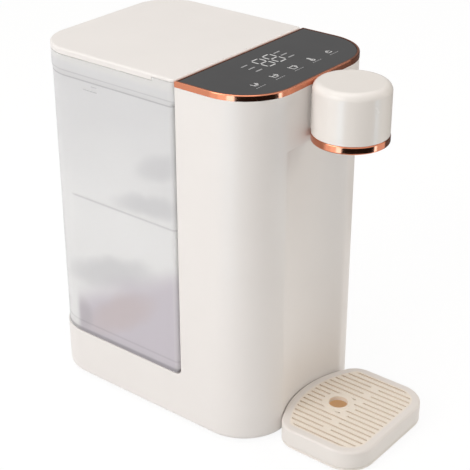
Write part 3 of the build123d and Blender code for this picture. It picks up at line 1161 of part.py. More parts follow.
# One file for each piece
pieces = [
    main_housing, tank_platform, base_cover, rubber_feet, base_screws, column_rear_cover, cover_screws, cord_gland,
    panel_trim, panel_frame, touch_glass, display_board, digit_display, touch_contacts,
    spout_head, spout_screws, spout_ring, spout_plate, water_nozzle, tank_seat, seat_seal,
    pump_lid, pump_volute, pump_impeller, pump_shaft, pump_motor, pump_cradle,
    heater_tube, heater_lower_cap, heater_upper_cap, heater_clamps, thermal_cutouts, temperature_probe,
    power_board, power_transformer, heater_relay, heat_sink, mains_capacitor, display_cable, level_sensor,
    inlet_hose, pump_hose, outlet_hose, tank_shell, lid_hinge_pins, lid, lid_seal,
    valve_body, valve_gasket, valve_guide, valve_plunger, valve_seal, valve_spring, inlet_filter,
    float_cage, level_float, float_magnet, drip_tray, tray_feet, tray_grille,
]
os.makedirs("parts", exist_ok=True)
for piece in pieces:
    export_step(piece.part, f"parts/{piece.part.label}.step")
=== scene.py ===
"""Looks of a countertop hot water dispenser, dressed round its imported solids.

Metres. +Z is up, the spout and the tray face -Y, the frosted tank stands at +Y. Lengths written in
millimetres are turned into metres with MM.
"""

import math

import bmesh
import bpy
import numpy as np
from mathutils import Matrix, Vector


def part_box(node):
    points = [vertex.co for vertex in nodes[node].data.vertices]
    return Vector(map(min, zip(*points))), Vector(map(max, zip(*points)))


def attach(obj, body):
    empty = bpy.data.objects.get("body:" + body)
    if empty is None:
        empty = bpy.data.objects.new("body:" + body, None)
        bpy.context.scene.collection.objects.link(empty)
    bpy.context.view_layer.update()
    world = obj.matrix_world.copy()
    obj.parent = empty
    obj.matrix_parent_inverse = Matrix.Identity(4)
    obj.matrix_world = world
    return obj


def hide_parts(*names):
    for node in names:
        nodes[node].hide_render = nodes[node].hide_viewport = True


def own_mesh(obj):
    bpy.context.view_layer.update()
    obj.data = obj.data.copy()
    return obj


MM = 0.001
WHITE = (1.0, 1.0, 1.0, 1.0)
BLACK = (0.0, 0.0, 0.0, 1.0)

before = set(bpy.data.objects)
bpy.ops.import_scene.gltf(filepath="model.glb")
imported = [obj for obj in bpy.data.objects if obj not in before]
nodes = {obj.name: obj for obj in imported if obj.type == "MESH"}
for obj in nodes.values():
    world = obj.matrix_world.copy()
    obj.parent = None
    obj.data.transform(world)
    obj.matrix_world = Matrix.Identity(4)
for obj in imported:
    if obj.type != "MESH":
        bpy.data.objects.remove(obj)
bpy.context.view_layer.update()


class Wire:
    """A shader socket used in plain sums: each operator adds one Math node to its tree."""

    def __init__(self, tree, socket):
        self.tree = tree
        self.socket = socket

    def make(self, kind, inputs, output=0, **settings):
        """Add a node of any type: its settings, then the value or link of each socket."""
        node = self.tree.nodes.new(kind)
        for name, value in settings.items():
            setattr(node, name, value)
        for key, value in inputs.items():
            if isinstance(value, Wire):
                self.tree.links.new(value.socket, node.inputs[key])
            else:
                node.inputs[key].default_value = value
        return Wire(self.tree, node.outputs[output])

    def math(self, operation, first, second=0.0):
        """One Math node."""
        return self.make("ShaderNodeMath", {0: first, 1: second}, operation=operation)

    def __add__(self, other):
        return self.math("ADD", self, other)

    def __radd__(self, other):
        return self.math("ADD", other, self)

    def __sub__(self, other):
        return self.math("SUBTRACT", self, other)

    def __rsub__(self, other):
        return self.math("SUBTRACT", other, self)

    def __mul__(self, other):
        return self.math("MULTIPLY", self, other)

    def __truediv__(self, other):
        return self.math("DIVIDE", self, other)

    def __abs__(self):
        return self.math("ABSOLUTE", self)

    def high(self, other):
        """The larger of two values."""
        return self.math("MAXIMUM", self, other)

    def wave(self):
        """Sine of the value."""
        return self.math("SINE", self)

    def step(self, start, end):
        """Smooth step from 0 at start to 1 at end; start may be the larger."""
        inputs = {"Value": self, "From Min": start, "From Max": end}
        return self.make("ShaderNodeMapRange", inputs, interpolation_type="SMOOTHSTEP")

    def axis(self, letter):
        """One coordinate of a vector."""
        return self.make("ShaderNodeSeparateXYZ", {0: self}, output="XYZ".index(letter))

    def stretch(self, scale):
        """The vector with its three coordinates scaled."""
        return self.make("ShaderNodeMapping", {"Vector": self, "Scale": scale})

    def noise(self, scale, detail=2.0, roughness=0.5):
        """Cloudy noise from 0 to 1 at a vector."""
        inputs = {"Vector": self, "Scale": scale, "Detail": detail, "Roughness": roughness}
        return self.make("ShaderNodeTexNoise", inputs)

    def blend(self, low_colour, high_colour):
        """Colour mixed by this value from one colour to another."""
        inputs = {0: self, 6: low_colour, 7: high_colour}
        return self.make("ShaderNodeMix", inputs, output=2, data_type="RGBA")

    def relief(self, strength, distance):
        """Bump normal from this height."""
        inputs = {"Height": self, "Strength": strength, "Distance": distance}
        return self.make("ShaderNodeBump", inputs)


def rgb(red, green, blue):
    """Screen colour from 0 to 255 as a linear colour.

    A channel c from 0 to 1 is c / 12.92 where it is dark, else ((c + 0.055) / 1.055) ** 2.4.
    """
    screen = np.array([red, green, blue]) / 255
    linear = np.where(screen < 0.04045, screen / 12.92, ((screen + 0.055) / 1.055) ** 2.4)
    return (*linear.tolist(), 1.0)


def shade(colour, factor):
    """A colour made darker or lighter."""
    return (*(np.clip(np.array(colour[:3]) * factor, 0, 1)).tolist(), 1.0)


def new_finish(name):
    """A material with its shader and its Object coordinates."""
    material = bpy.data.materials.new(name)
    material.use_nodes = True
    tree = material.node_tree
    shader = tree.nodes["Principled BSDF"]
    coordinates = tree.nodes.new("ShaderNodeTexCoord")
    return material, shader, Wire(tree, coordinates.outputs["Object"])


def set_shader(shader, **inputs):
    """Set or link a shader's sockets; an underscore in a name stands for a space."""
    for key, value in inputs.items():
        socket = shader.inputs[key.replace("_", " ")]
        if isinstance(value, Wire):
            value.tree.links.new(value.socket, socket)
        else:
            socket.default_value = value


def uneven(place, roughness, scale=60.0, detail=4.0, spread=0.12):
    """A roughness that differs a little from place to place."""
    return roughness + (place.noise(scale, detail=detail) - 0.5) * spread


def sparks(place, strength, scale=1500.0):
    """Normal of the fine spark texture that a mould leaves."""
    return place.noise(scale).relief(strength, 0.2 * MM)


def moulded_plastic(name, colour, roughness, spark=0.05, cloud=0.02):
    """Moulded plastic: faint cloudy colour, fine spark texture of the mould and uneven sheen."""
    material, shader, place = new_finish(name)
    clouds = place.noise(22.0, detail=3.0)
    set_shader(
        shader,
        Base_Color=clouds.blend(shade(colour, 1 - cloud), shade(colour, 1 + cloud)),
        Roughness=uneven(place, roughness),
        Normal=sparks(place, spark),
        Specular_IOR_Level=0.5,
    )
    return material


def metal(name, colour, roughness, brush):
    """Metal with fine brushing: noise drawn out along the axes with the small scale numbers."""
    material, shader, place = new_finish(name)
    lines = place.stretch(brush).noise(1.0, detail=4.0, roughness=0.7)
    clouds = place.noise(40.0)
    set_shader(
        shader,
        Base_Color=clouds.blend(shade(colour, 0.95), shade(colour, 1.04)),
        Metallic=1.0,
        Roughness=roughness + (lines - 0.5) * (0.5 * roughness),
        Normal=lines.relief(0.02, 0.1 * MM),
    )
    return material


def dark_panel_glass():
    """Dark back-printed glass: grey below, glossy above, with a faint haze."""
    material, shader, place = new_finish("dark_panel_glass")
    haze = place.noise(35.0, detail=3.0)
    set_shader(
        shader,
        Base_Color=haze.blend(rgb(72, 72, 73), rgb(78, 78, 79)),
        Roughness=uneven(place, 0.20, scale=160.0, detail=3.0, spread=0.08),
        Specular_IOR_Level=0.20,
    )
    return material


def soft_spot(place, centre, half, wobble, lean=0.0):
    """1 at the middle of a soft uneven oval on the tank's sides, 0 at its edge.

    Its centre and its half sizes are along Y and Z, in millimetres; lean lowers it towards the back.
    """
    along = place.axis("Y") - centre[0] * MM
    up = (place.axis("Z") - centre[1] * MM + along * lean + wobble) / (half[1] * MM)
    along = along / (half[0] * MM)
    return (along * along + up * up).step(1.0, 0.0)


def level_line(height, level, core, edge):
    """1 on a level line, falling to 0 between its core and its edge."""
    return 1.0 - abs(height - level).step(core, edge)


# Heights of the tank's faint lines and of its painted shadow at the foot
TANK_RIM_STEP = 282.5 * MM
TANK_RIM = 278.0 * MM
TANK_LEVEL = 176.0 * MM
TANK_FLOOR = 56.0 * MM
TANK_FOOT = 50.5 * MM


def frosted_tank():
    """Frosted clear plastic with painted shadows and soft tints as if seen through it.

    Grey painted shadows above, a darker painted rear edge, lilac low down, painted light on the front wall
    and rim, and faint lines at the rim, the level and the floor, with a painted shadow line at the foot.
    """
    material, shader, place = new_finish("frosted_tank")
    along = place.axis("Y")
    height = place.axis("Z")
    drift = place.stretch((16.0, 14.0, 22.0)).noise(1.0, detail=1.5, roughness=0.4) - 0.5
    wobble = (place.stretch((40.0, 34.0, 30.0)).noise(1.0) - 0.5) * (14.0 * MM)

    # Greyer towards the top; painted shade: grey shadows and a darker rear edge
    grey = (height + drift * 0.08).step(275.0 * MM, 150.0 * MM).blend(rgb(243, 243, 244), WHITE)
    upper_shadow = soft_spot(place, (19.0, 225.0), (36.0, 16.0), wobble, 0.35)
    middle_shadow = soft_spot(place, (34.0, 189.0), (48.0, 13.0), wobble, 0.12)
    lower_shadow = soft_spot(place, (80.0, 115.0), (62.0, 19.0), wobble, 0.26)
    shadows = upper_shadow.high(middle_shadow).high(lower_shadow)
    shadowed_grey = (shadows * 0.80).blend(grey, rgb(229, 229, 231))
    rear_shade = along.step(127.0 * MM, 150.0 * MM) * height.step(230.0 * MM, 110.0 * MM) * 0.6
    with_rear_shade = rear_shade.blend(shadowed_grey, rgb(216, 216, 218))

    # Lilac low down, pinker in its middle and deeper at the rear corner
    pink_share = soft_spot(place, (70.0, 80.0), (48.0, 24.0), wobble, 0.58)
    lilac = pink_share.blend(rgb(226, 220, 228), rgb(223, 212, 215))
    corner_share = soft_spot(place, (114.0, 66.0), (14.0, 20.0), wobble)
    deep = (corner_share * 0.8).blend(lilac, rgb(206, 200, 206))
    below = (height + along * 0.5 + drift * 0.03).step(152.0 * MM, 122.0 * MM)
    low_share = below * along.step(123.0 * MM, 116.0 * MM)
    tinted = (low_share * 0.92).blend(with_rear_shade, deep)

    # Painted light: paler front wall and rim
    front_wall_light = along.step(12.0 * MM, 10.6 * MM) * 0.22
    rim_light = height.step(286.5 * MM, 294.0 * MM) * 0.7
    paler = front_wall_light.high(rim_light).blend(tinted, rgb(254, 253, 251))

    # Faint lines at the level, the rim steps and the floor, and a painted shadow line at the foot
    side_only = along.step(121.0 * MM, 114.0 * MM)
    water_line = level_line(height, TANK_LEVEL, 0.3 * MM, 1.3 * MM) * side_only * 0.30
    rim_line = level_line(height, TANK_RIM, 0.2 * MM, 0.9 * MM) * 0.45
    rise_line = level_line(height, TANK_RIM_STEP, 0.2 * MM, 0.8 * MM) * 0.25
    foot_shadow_line = height.step(TANK_FOOT, TANK_FOOT - 3.0 * MM) * 0.60
    floor_line = level_line(height, TANK_FLOOR, 0.3 * MM, 1.4 * MM) * 0.20
    lines = water_line.high(rim_line).high(rise_line).high(foot_shadow_line).high(floor_line)
    set_shader(
        shader,
        Base_Color=lines.blend(paler, rgb(150, 147, 153)),
        Roughness=uneven(place, 0.42, scale=45.0, detail=3.0, spread=0.10),
        Transmission_Weight=0.36,
        IOR=1.35,
        Normal=sparks(place, 0.06, scale=2600.0),
    )
    return material


# Outline of the tray, as its solids have it
TRAY_HALF = 56.0 * MM
TRAY_FRONT = 152.5 * MM
TRAY_CORNER = 24.4 * MM
TRAY_REAR_RADIUS = 91.6 * MM
TRAY_REAR_CENTRE = -153.1 * MM
TRAY_BORDER = 7.0 * MM
SKIRT_TOP = 19.0 * MM
BOWL_WALL = 3.0 * MM
BOWL_FLOOR = 2.6 * MM


def inside_tray(place, inset, blur):
    """1 inside the tray's outline drawn in by inset, 0 outside.

    The outline is a rectangle with round corners, all points within the corner radius of a smaller
    rectangle, cut by the rear arc, all points within its radius of its centre.
    """
    x = place.axis("X")
    y = place.axis("Y")
    across = (abs(x) - (TRAY_HALF - TRAY_CORNER)).high(0.0)
    along = (0.0 - y - (TRAY_FRONT - TRAY_CORNER)).high(0.0)
    corner = TRAY_CORNER - inset
    in_corners = (across * across + along * along).step((corner + blur) ** 2, (corner - blur) ** 2)
    back = y - TRAY_REAR_CENTRE
    rear = TRAY_REAR_RADIUS - inset
    in_arc = (x * x + back * back).step((rear + blur) ** 2, (rear - blur) ** 2)
    return in_corners * in_arc


def tray_cap():
    """Cream cap of the tray: warmer between its slots, greyer at its border, palest on its skirt."""
    material, shader, place = new_finish("tray_cap")
    clouds = place.noise(24.0, detail=3.0)
    border = clouds.blend(rgb(233, 227, 222), rgb(237, 231, 226))
    field = inside_tray(place, TRAY_BORDER, 1.5 * MM).blend(border, rgb(244, 234, 221))
    skirt_share = place.axis("Z").step(SKIRT_TOP, SKIRT_TOP - 2.2 * MM)
    set_shader(
        shader,
        Base_Color=skirt_share.blend(field, rgb(236, 231, 226)),
        Roughness=uneven(place, 0.38),
        Normal=sparks(place, 0.05),
    )
    return material


def tray_bowl():
    """Bowl painted tan inside as warm shade, on a cream foot, with a painted warm glow inside for light let
    through the thin plastic.
    """
    material, shader, place = new_finish("tray_bowl")
    clouds = place.noise(30.0, detail=3.0)
    warm_shade_tan = clouds.blend(rgb(226, 188, 150), rgb(234, 198, 162))
    above_floor = place.axis("Z").step(BOWL_FLOOR, BOWL_FLOOR + 0.6 * MM)
    inside = inside_tray(place, BOWL_WALL, 0.4 * MM) * above_floor
    # Painted warm shade, tan, inside the bowl, and a painted warm glow there
    set_shader(
        shader,
        Base_Color=inside.blend(rgb(240, 234, 227), warm_shade_tan),
        Roughness=uneven(place, 0.45),
        Emission_Color=inside.blend(BLACK, rgb(222, 196, 152)),
        Emission_Strength=0.22,
        Normal=sparks(place, 0.05),
    )
    return material


def circuit_board():
    """Green solder mask with a faint net of tracks: two crossed waves cut to thin lines."""
    material, shader, place = new_finish("circuit_board")
    tracks_per_metre = 900.0
    wander = place.noise(30.0) * 6.0
    across = (place.axis("X") * tracks_per_metre + wander).wave()
    along = ((place.axis("Z") + place.axis("Y")) * tracks_per_metre + wander).wave()
    tracks = across.high(along).step(0.93, 0.98) * place.noise(45.0).step(0.45, 0.55)
    set_shader(
        shader,
        Base_Color=tracks.blend(rgb(30, 92, 58), rgb(52, 128, 84)),
        Roughness=uneven(place, 0.45, scale=300.0, detail=2.0, spread=0.10),
        Normal=tracks.relief(0.15, 0.1 * MM),
    )
    return material


def ribbon_cable():
    """Flat cable: narrow dark lines between its wires, along Z."""
    material, shader, place = new_finish("ribbon_cable")
    wires = abs((place.axis("X") * 2400.0).wave())
    set_shader(
        shader,
        Base_Color=wires.step(0.1, 0.5).blend(rgb(112, 114, 118), rgb(168, 170, 174)),
        Roughness=uneven(place, 0.5, scale=300.0, detail=2.0, spread=0.10),
        Normal=wires.relief(0.4, 0.3 * MM),
    )
    return material


white_shell = moulded_plastic("white_shell", rgb(236, 232, 229), 0.44)
gloss_shell = moulded_plastic("gloss_shell", rgb(237, 232, 227), 0.25, spark=0.02)
tray_plastic = tray_cap()
bowl_plastic = tray_bowl()
copper = metal("copper_band", rgb(213, 137, 106), 0.13, (60.0, 60.0, 4000.0))
dark_glass = dark_panel_glass()
tank_plastic = frosted_tank()
clear_part = moulded_plastic("pale_clear_part", rgb(214, 218, 222), 0.25, spark=0.02)
black_rubber = moulded_plastic("black_rubber", rgb(38, 38, 39), 0.75, spark=0.30, cloud=0.06)
pale_silicone = moulded_plastic("pale_silicone", rgb(222, 222, 220), 0.50, spark=0.12, cloud=0.03)
dark_plastic = moulded_plastic("dark_plastic", rgb(48, 48, 50), 0.50, spark=0.15, cloud=0.05)
grey_plastic = moulded_plastic("grey_plastic", rgb(176, 176, 176), 0.42, spark=0.10, cloud=0.03)
blue_sleeve = moulded_plastic("blue_sleeve", rgb(44, 74, 140), 0.35, spark=0.05, cloud=0.05)
steel = metal("drawn_steel", rgb(206, 206, 208), 0.26, (900.0, 900.0, 30.0))
screw_steel = metal("screw_steel", rgb(180, 180, 182), 0.32, (500.0, 500.0, 500.0))
aluminium = metal("sink_aluminium", rgb(214, 215, 217), 0.36, (40.0, 900.0, 900.0))
magnet_plating = metal("magnet_plating", rgb(150, 150, 152), 0.24, (400.0, 400.0, 400.0))
green_board = circuit_board()
grey_ribbon = ribbon_cable()

finishes = {
    white_shell: ["main_housing", "tank_platform", "base_cover", "column_rear_cover", "lid"],
    gloss_shell: ["spout_head"],
    tray_plastic: ["tray_grille"],
    bowl_plastic: ["drip_tray"],
    copper: ["panel_trim", "spout_ring"],
    dark_glass: ["touch_glass"],
    tank_plastic: ["tank_shell"],
    clear_part: ["float_cage"],
    black_rubber: ["rubber_feet", "cord_gland", "tray_feet"],
    pale_silicone: [
        "seat_seal", "inlet_hose", "pump_hose", "outlet_hose", "valve_gasket", "lid_seal", "valve_seal",
    ],
    dark_plastic: [
        "panel_frame", "digit_display", "pump_lid", "pump_volute", "pump_cradle", "thermal_cutouts",
        "level_sensor", "power_transformer", "heater_relay",
    ],
    grey_plastic: [
        "spout_plate", "water_nozzle", "tank_seat", "heater_lower_cap", "heater_upper_cap", "pump_impeller",
        "valve_body", "valve_guide", "inlet_filter", "valve_plunger", "level_float",
    ],
    blue_sleeve: ["mains_capacitor"],
    steel: [
        "pump_motor", "heater_tube", "heater_clamps", "temperature_probe", "pump_shaft", "lid_hinge_pins",
        "valve_spring",
    ],
    screw_steel: ["base_screws", "cover_screws", "spout_screws"],
    aluminium: ["heat_sink"],
    magnet_plating: ["touch_contacts", "float_magnet"],
    green_board: ["display_board", "power_board"],
    grey_ribbon: ["display_cable"],
}
for finish, names in finishes.items():
    for name in names:
        slots = nodes[name].data.materials
        slots.clear()
        slots.append(finish)


def new_piece(name, points, faces, material, body, smooth=False):
    """A closed mesh piece from whole arrays of points and faces, turned outwards, that rides on a body."""
    mesh = bpy.data.meshes.new(name)
    mesh.from_pydata(points.tolist(), [], faces)
    shape = bmesh.new()
    shape.from_mesh(mesh)
    bmesh.ops.recalc_face_normals(shape, faces=shape.faces)
    shape.to_mesh(mesh)
    shape.free()
    mesh.polygons.foreach_set("use_smooth", [smooth] * len(mesh.polygons))
    mesh.materials.append(material)
    mesh.update()
    piece = bpy.data.objects.new(name, mesh)
    bpy.context.scene.collection.objects.link(piece)
    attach(piece, body)
    return piece


def grid_faces(rows, columns, closed_columns):
    """Quads of a rows by columns grid of points, wrapped round where the columns are closed."""
    row = np.arange(rows - 1)
    column = np.arange(columns if closed_columns else columns - 1)
    r, c = np.meshgrid(row, column, indexing="ij")
    r_next = r + 1
    c_next = (c + 1) % columns
    corners = [r * columns + c, r_next * columns + c, r_next * columns + c_next, r * columns + c_next]
    return np.stack(corners, axis=-1).reshape(-1, 4)


def flat_stroke(path, width, top, thickness):
    """Flat printed stroke: S(i, j) = path(i) + side(j) * width / 2 * n(i), n square to the path.

    The four corners j are lower left, upper left, upper right and lower right, and both ends are closed.
    """
    path = np.asarray(path, float)
    along = np.gradient(path, axis=0)
    along /= np.linalg.norm(along, axis=1, keepdims=True)
    across = np.stack([-along[:, 1], along[:, 0]], axis=1) * width / 2
    left = path + across
    right = path - across
    low = np.full((len(path), 1), top - thickness)
    high = np.full((len(path), 1), top)
    corners = [(left, low), (left, high), (right, high), (right, low)]
    points = np.stack([np.hstack(corner) for corner in corners], axis=1).reshape(-1, 3)
    faces = grid_faces(len(path), 4, True)
    last = 4 * (len(path) - 1)
    ends = np.array([[0, 1, 2, 3], [last + 3, last + 2, last + 1, last]])
    return points, np.vstack([faces, ends])


def joined(parts):
    """Several arrays of points and faces as one."""
    points = []
    faces = []
    count = 0
    for part_points, part_faces in parts:
        points.append(part_points)
        faces.append(part_faces + count)
        count += len(part_points)
    return np.vstack(points), np.vstack(faces)


def arc(centre, radius, start, end, count=14):
    """Points on a circle from one angle to another, in degrees."""
    angle = np.radians(np.linspace(start, end, count))
    return np.stack([centre[0] + radius * np.cos(angle), centre[1] + radius * np.sin(angle)], axis=1)


# Printed marks on the glass, in millimetres: two digits, dashes beside them and five generic signs
PRINT_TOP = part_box("touch_glass")[1].z / MM + 0.03
PRINT_THICKNESS = 0.05
DIGIT_CENTRES = (-7.3, 5.9)
DIGIT_Y = -22.2
DIGIT_HALF_WIDTH = 4.5
DIGIT_HALF_DEPTH = 8.6
SEGMENT_WIDTH = 1.2
SEGMENT_GAP = 1.2
DASH_YS = (-15.9, -22.9, -29.8)
LEFT_DASH = (-26.4, -19.2)
RIGHT_DASH = (13.8, 21.2)
DASH_WIDTH = 1.3
SIGN_Y = -45.6
SIGN_XS = (-49.0, -25.6, -2.3, 20.7, 43.2)
SIGN_WIDTH = 0.8
UNDERLINE_Y = SIGN_Y - 5.9
UNDERLINE_HALF = 4.6
UNDERLINE_DASHES = 5
UNDERLINE_DASH_HALF = 0.8
UNDERLINE_WIDTH = 0.7


def digit_segments(x):
    """The seven bars of one digit: three across and four along, with gaps at the corners."""
    left = x - DIGIT_HALF_WIDTH
    right = x + DIGIT_HALF_WIDTH
    bars = []
    for y in (DIGIT_Y - DIGIT_HALF_DEPTH, DIGIT_Y, DIGIT_Y + DIGIT_HALF_DEPTH):
        bars.append([(left + SEGMENT_GAP, y), (right - SEGMENT_GAP, y)])
    for side in (left, right):
        for y in (DIGIT_Y - DIGIT_HALF_DEPTH, DIGIT_Y):
            bars.append([(side, y + SEGMENT_GAP), (side, y + DIGIT_HALF_DEPTH - SEGMENT_GAP)])
    return bars


def cup_sign(x, y, size, level):
    """Beaker: a tapered outline, a filling line and a half-round handle."""
    foot = 0.75 * size
    low = y - size
    outline = [(x - size, y + size), (x - foot, low), (x + foot, low), (x + size, y + size)]
    filling = low + 2 * size * level
    half = size * (0.72 + 0.22 * level)
    handle = arc((x + 0.95 * size, y), 0.45 * size, -70, 70)
    return [outline, [(x - half, filling), (x + half, filling)], handle]


def thermometer_sign(x, y, size):
    """Bulb and stem: an open circle, a round-ended stem above it and a bar inside both."""
    bulb = arc((x, y - 0.7 * size), 0.55 * size, 115, 425, 24)
    stem = np.vstack([bulb[-1:], arc((x, y + 0.9 * size), 0.23 * size, 0, 180), bulb[:1]])
    return [bulb, stem, [(x, y - 0.7 * size), (x, y + 0.5 * size)]]


def lock_sign(x, y, size):
    """Padlock: a box and a half-round shackle."""
    left = x - 0.8 * size
    right = x + 0.8 * size
    low = y - size
    middle = y + 0.1 * size
    box = [(left, middle), (left, low), (right, low), (right, middle), (left, middle)]
    return [box, arc((x, middle), 0.5 * size, 0, 180)]


def printed_marks():
    """Print on the glass: near white digits and signs, greyer dashes beside and under them."""
    material, shader, place = new_finish("panel_print_white")
    y = place.axis("Y")
    from_digits = abs(place.axis("X") - sum(DIGIT_CENTRES) / 2 * MM)
    beside = from_digits.step(12.5 * MM, 13.5 * MM) * y.step(-38.0 * MM, -36.0 * MM)
    under = y.step((SIGN_Y - 4.0) * MM, (SIGN_Y - 5.0) * MM)
    tone = beside.high(under).blend(rgb(216, 216, 217), rgb(166, 166, 168))
    set_shader(shader, Base_Color=tone, Roughness=uneven(place, 0.45, scale=160.0, detail=2.0, spread=0.10))
    return material


strokes = []
for digit_x in DIGIT_CENTRES:
    strokes += [(bar, SEGMENT_WIDTH) for bar in digit_segments(digit_x)]
for dash_y in DASH_YS:
    for dash_start, dash_end in (LEFT_DASH, RIGHT_DASH):
        strokes.append(([(dash_start, dash_y), (dash_end, dash_y)], DASH_WIDTH))
signs = cup_sign(SIGN_XS[0], SIGN_Y, 2.3, 0.3)
signs += cup_sign(SIGN_XS[1], SIGN_Y, 2.7, 0.55)
signs += cup_sign(SIGN_XS[2], SIGN_Y, 3.0, 0.8)
signs += thermometer_sign(SIGN_XS[3], SIGN_Y, 2.9)
signs += lock_sign(SIGN_XS[4], SIGN_Y, 2.6)
strokes += [(sign, SIGN_WIDTH) for sign in signs]
for sign_x in SIGN_XS:
    for dash_x in np.linspace(sign_x - UNDERLINE_HALF, sign_x + UNDERLINE_HALF, UNDERLINE_DASHES):
        dash = [(dash_x - UNDERLINE_DASH_HALF, UNDERLINE_Y), (dash_x + UNDERLINE_DASH_HALF, UNDERLINE_Y)]
        strokes.append((dash, UNDERLINE_WIDTH))
stroke_meshes = [flat_stroke(path, width, PRINT_TOP, PRINT_THICKNESS) for path, width in strokes]
print_points, print_faces = joined(stroke_meshes)
panel_print = new_piece("panel_print", print_points * MM, print_faces.tolist(), printed_marks(), "housing")

# Fill tick on the tank, in millimetres
TANK_SIDE = -78.5
TICK_ROOT = 0.2
TICK_RISE = 0.15
TICK_START = 84.0


def side_tick(y_end, z, height):
    """Raised tick on the tank's -X wall: a low box with its outer face drawn in by its own thickness."""
    y = np.array([TICK_START, y_end, y_end, TICK_START])
    zs = z + np.array([-1, -1, 1, 1]) * height / 2
    inset_y = y + np.array([1, -1, -1, 1]) * TICK_RISE
    inset_z = zs + np.array([1, 1, -1, -1]) * TICK_RISE
    back = np.stack([np.full(4, TANK_SIDE + TICK_ROOT), y, zs], axis=1)
    face = np.stack([np.full(4, TANK_SIDE - TICK_RISE), inset_y, inset_z], axis=1)
    faces = [[0, 1, 2, 3], [7, 6, 5, 4], [0, 4, 5, 1], [1, 5, 6, 2], [2, 6, 7, 3], [3, 7, 4, 0]]
    return np.vstack([back, face]), np.array(faces)


tick_points, tick_faces = joined([side_tick(99.0, 271.0, 0.9), side_tick(90.0, 275.0, 0.7)])
tick_grey = moulded_plastic("tick_grey", rgb(204, 204, 206), 0.45, spark=0.02)
tank_tick = new_piece("tank_fill_tick", tick_points * MM, tick_faces.tolist(), tick_grey, "tank")

# Valve spring
COIL_RADIUS = 4.6 * MM
COIL_WIRE = 0.45 * MM
COIL_TURNS = 5
COIL_STEPS = 24
COIL_SIDES = 10


def wound_spring(low, high, centre_y):
    """Coil spring: a circle of the wire carried along a helix.

    C(u) = (R cos 2 pi n u, R sin 2 pi n u, low + (high - low) u), with the circle in the plane of the
    outward direction and the axis, and a flat cap on each end.
    """
    u = np.linspace(0, 1, COIL_STEPS * COIL_TURNS + 1)
    v = np.radians(np.linspace(0, 360, COIL_SIDES, endpoint=False))
    angle = 2 * np.pi * COIL_TURNS * u
    out = COIL_RADIUS + COIL_WIRE * np.cos(v)[None, :]
    x = out * np.cos(angle)[:, None]
    y = out * np.sin(angle)[:, None] + centre_y
    axis_height = low + COIL_WIRE + (high - low - 2 * COIL_WIRE) * u
    z = axis_height[:, None] + COIL_WIRE * np.sin(v)[None, :]
    points = np.stack([x, y, z], axis=-1).reshape(-1, 3)
    faces = grid_faces(len(u), len(v), True).tolist()
    first_cap = np.arange(len(v))[::-1]
    last_cap = np.arange(len(v)) + len(v) * (len(u) - 1)
    return points, faces + [first_cap.tolist(), last_cap.tolist()]


spring_low, spring_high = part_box("valve_spring")
spring_centre = (spring_low.y + spring_high.y) / 2
coil_points, coil_faces = wound_spring(spring_low.z, spring_high.z, spring_centre)
coil = new_piece("valve_coil", coil_points, coil_faces, steel, "tank", smooth=True)
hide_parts("valve_spring")
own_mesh(coil)

# Camera at the photograph's view: its place, how far it looks down and how far it is turned from +Y
CAMERA_PLACE = (-0.7236, -0.5612, 0.6168)
CAMERA_DOWN = 27.32
CAMERA_TURN = -51.67
camera_data = bpy.data.cameras.new("view")
camera_data.sensor_width = 36.0
camera_data.lens = 96.2
camera_data.clip_start = 0.01
camera_data.clip_end = 50.0
camera = bpy.data.objects.new("view", camera_data)
camera.location = CAMERA_PLACE
camera.rotation_euler = (math.radians(90 - CAMERA_DOWN), 0.0, math.radians(CAMERA_TURN))
bpy.context.scene.collection.objects.link(camera)
bpy.context.scene.camera = camera


def seen_directly(wire):
    """1 for rays from the camera, mirrors or clear parts, 0 for scattered light."""
    path = wire.tree.nodes.new("ShaderNodeLightPath")
    kinds = ("Is Camera Ray", "Is Glossy Ray", "Is Transmission Ray")
    camera_ray, glossy_ray, clear_ray = (Wire(wire.tree, path.outputs[kind]) for kind in kinds)
    return camera_ray.high(glossy_ray).high(clear_ray)


# Pale floor: seen directly it is almost white and keeps the object's shadow
FLOOR_HALF = 6.0
FLOOR_GLOW_SHARE = 0.86
floor_corners = [(-FLOOR_HALF, -FLOOR_HALF, 0), (FLOOR_HALF, -FLOOR_HALF, 0)]
floor_corners += [(FLOOR_HALF, FLOOR_HALF, 0), (-FLOOR_HALF, FLOOR_HALF, 0)]
floor_data = bpy.data.meshes.new("floor")
floor_data.from_pydata(floor_corners, [], [(0, 1, 2, 3)])
floor = bpy.data.objects.new("floor", floor_data)
bpy.context.scene.collection.objects.link(floor)
floor_white = bpy.data.materials.new("floor_white")
floor_white.use_nodes = True
floor_tree = floor_white.node_tree
floor_tree.nodes.clear()
floor_start = Wire(floor_tree, floor_tree.nodes.new("ShaderNodeTexCoord").outputs["Object"])
floor_matt = floor_start.make("ShaderNodeBsdfDiffuse", {"Color": (0.86, 0.86, 0.86, 1.0)})
floor_glow = floor_start.make("ShaderNodeEmission", {"Color": WHITE, "Strength": 1.04})
glow_share = seen_directly(floor_start) * FLOOR_GLOW_SHARE
floor_mix = floor_start.make("ShaderNodeMixShader", {0: glow_share, 1: floor_matt, 2: floor_glow})
floor_out = floor_tree.nodes.new("ShaderNodeOutputMaterial")
floor_tree.links.new(floor_mix.socket, floor_out.inputs["Surface"])
floor_data.materials.append(floor_white)

# White surroundings, dimmer and warmer as a lamp than to the eye
SKY_AS_LAMP = 0.44
SKY_TO_EYE = 1.0
world = bpy.data.worlds.new("studio")
bpy.context.scene.world = world
world.use_nodes = True
sky = world.node_tree.nodes["Background"]
sky_start = Wire(world.node_tree, world.node_tree.nodes.new("ShaderNodeTexCoord").outputs["Generated"])
sky_strength = SKY_AS_LAMP + seen_directly(sky_start) * (SKY_TO_EYE - SKY_AS_LAMP)
sky_colour = seen_directly(sky_start).blend((1.0, 0.97, 0.93, 1.0), WHITE)
world.node_tree.links.new(sky_colour.socket, sky.inputs["Color"])
world.node_tree.links.new(sky_strength.socket, sky.inputs["Strength"])


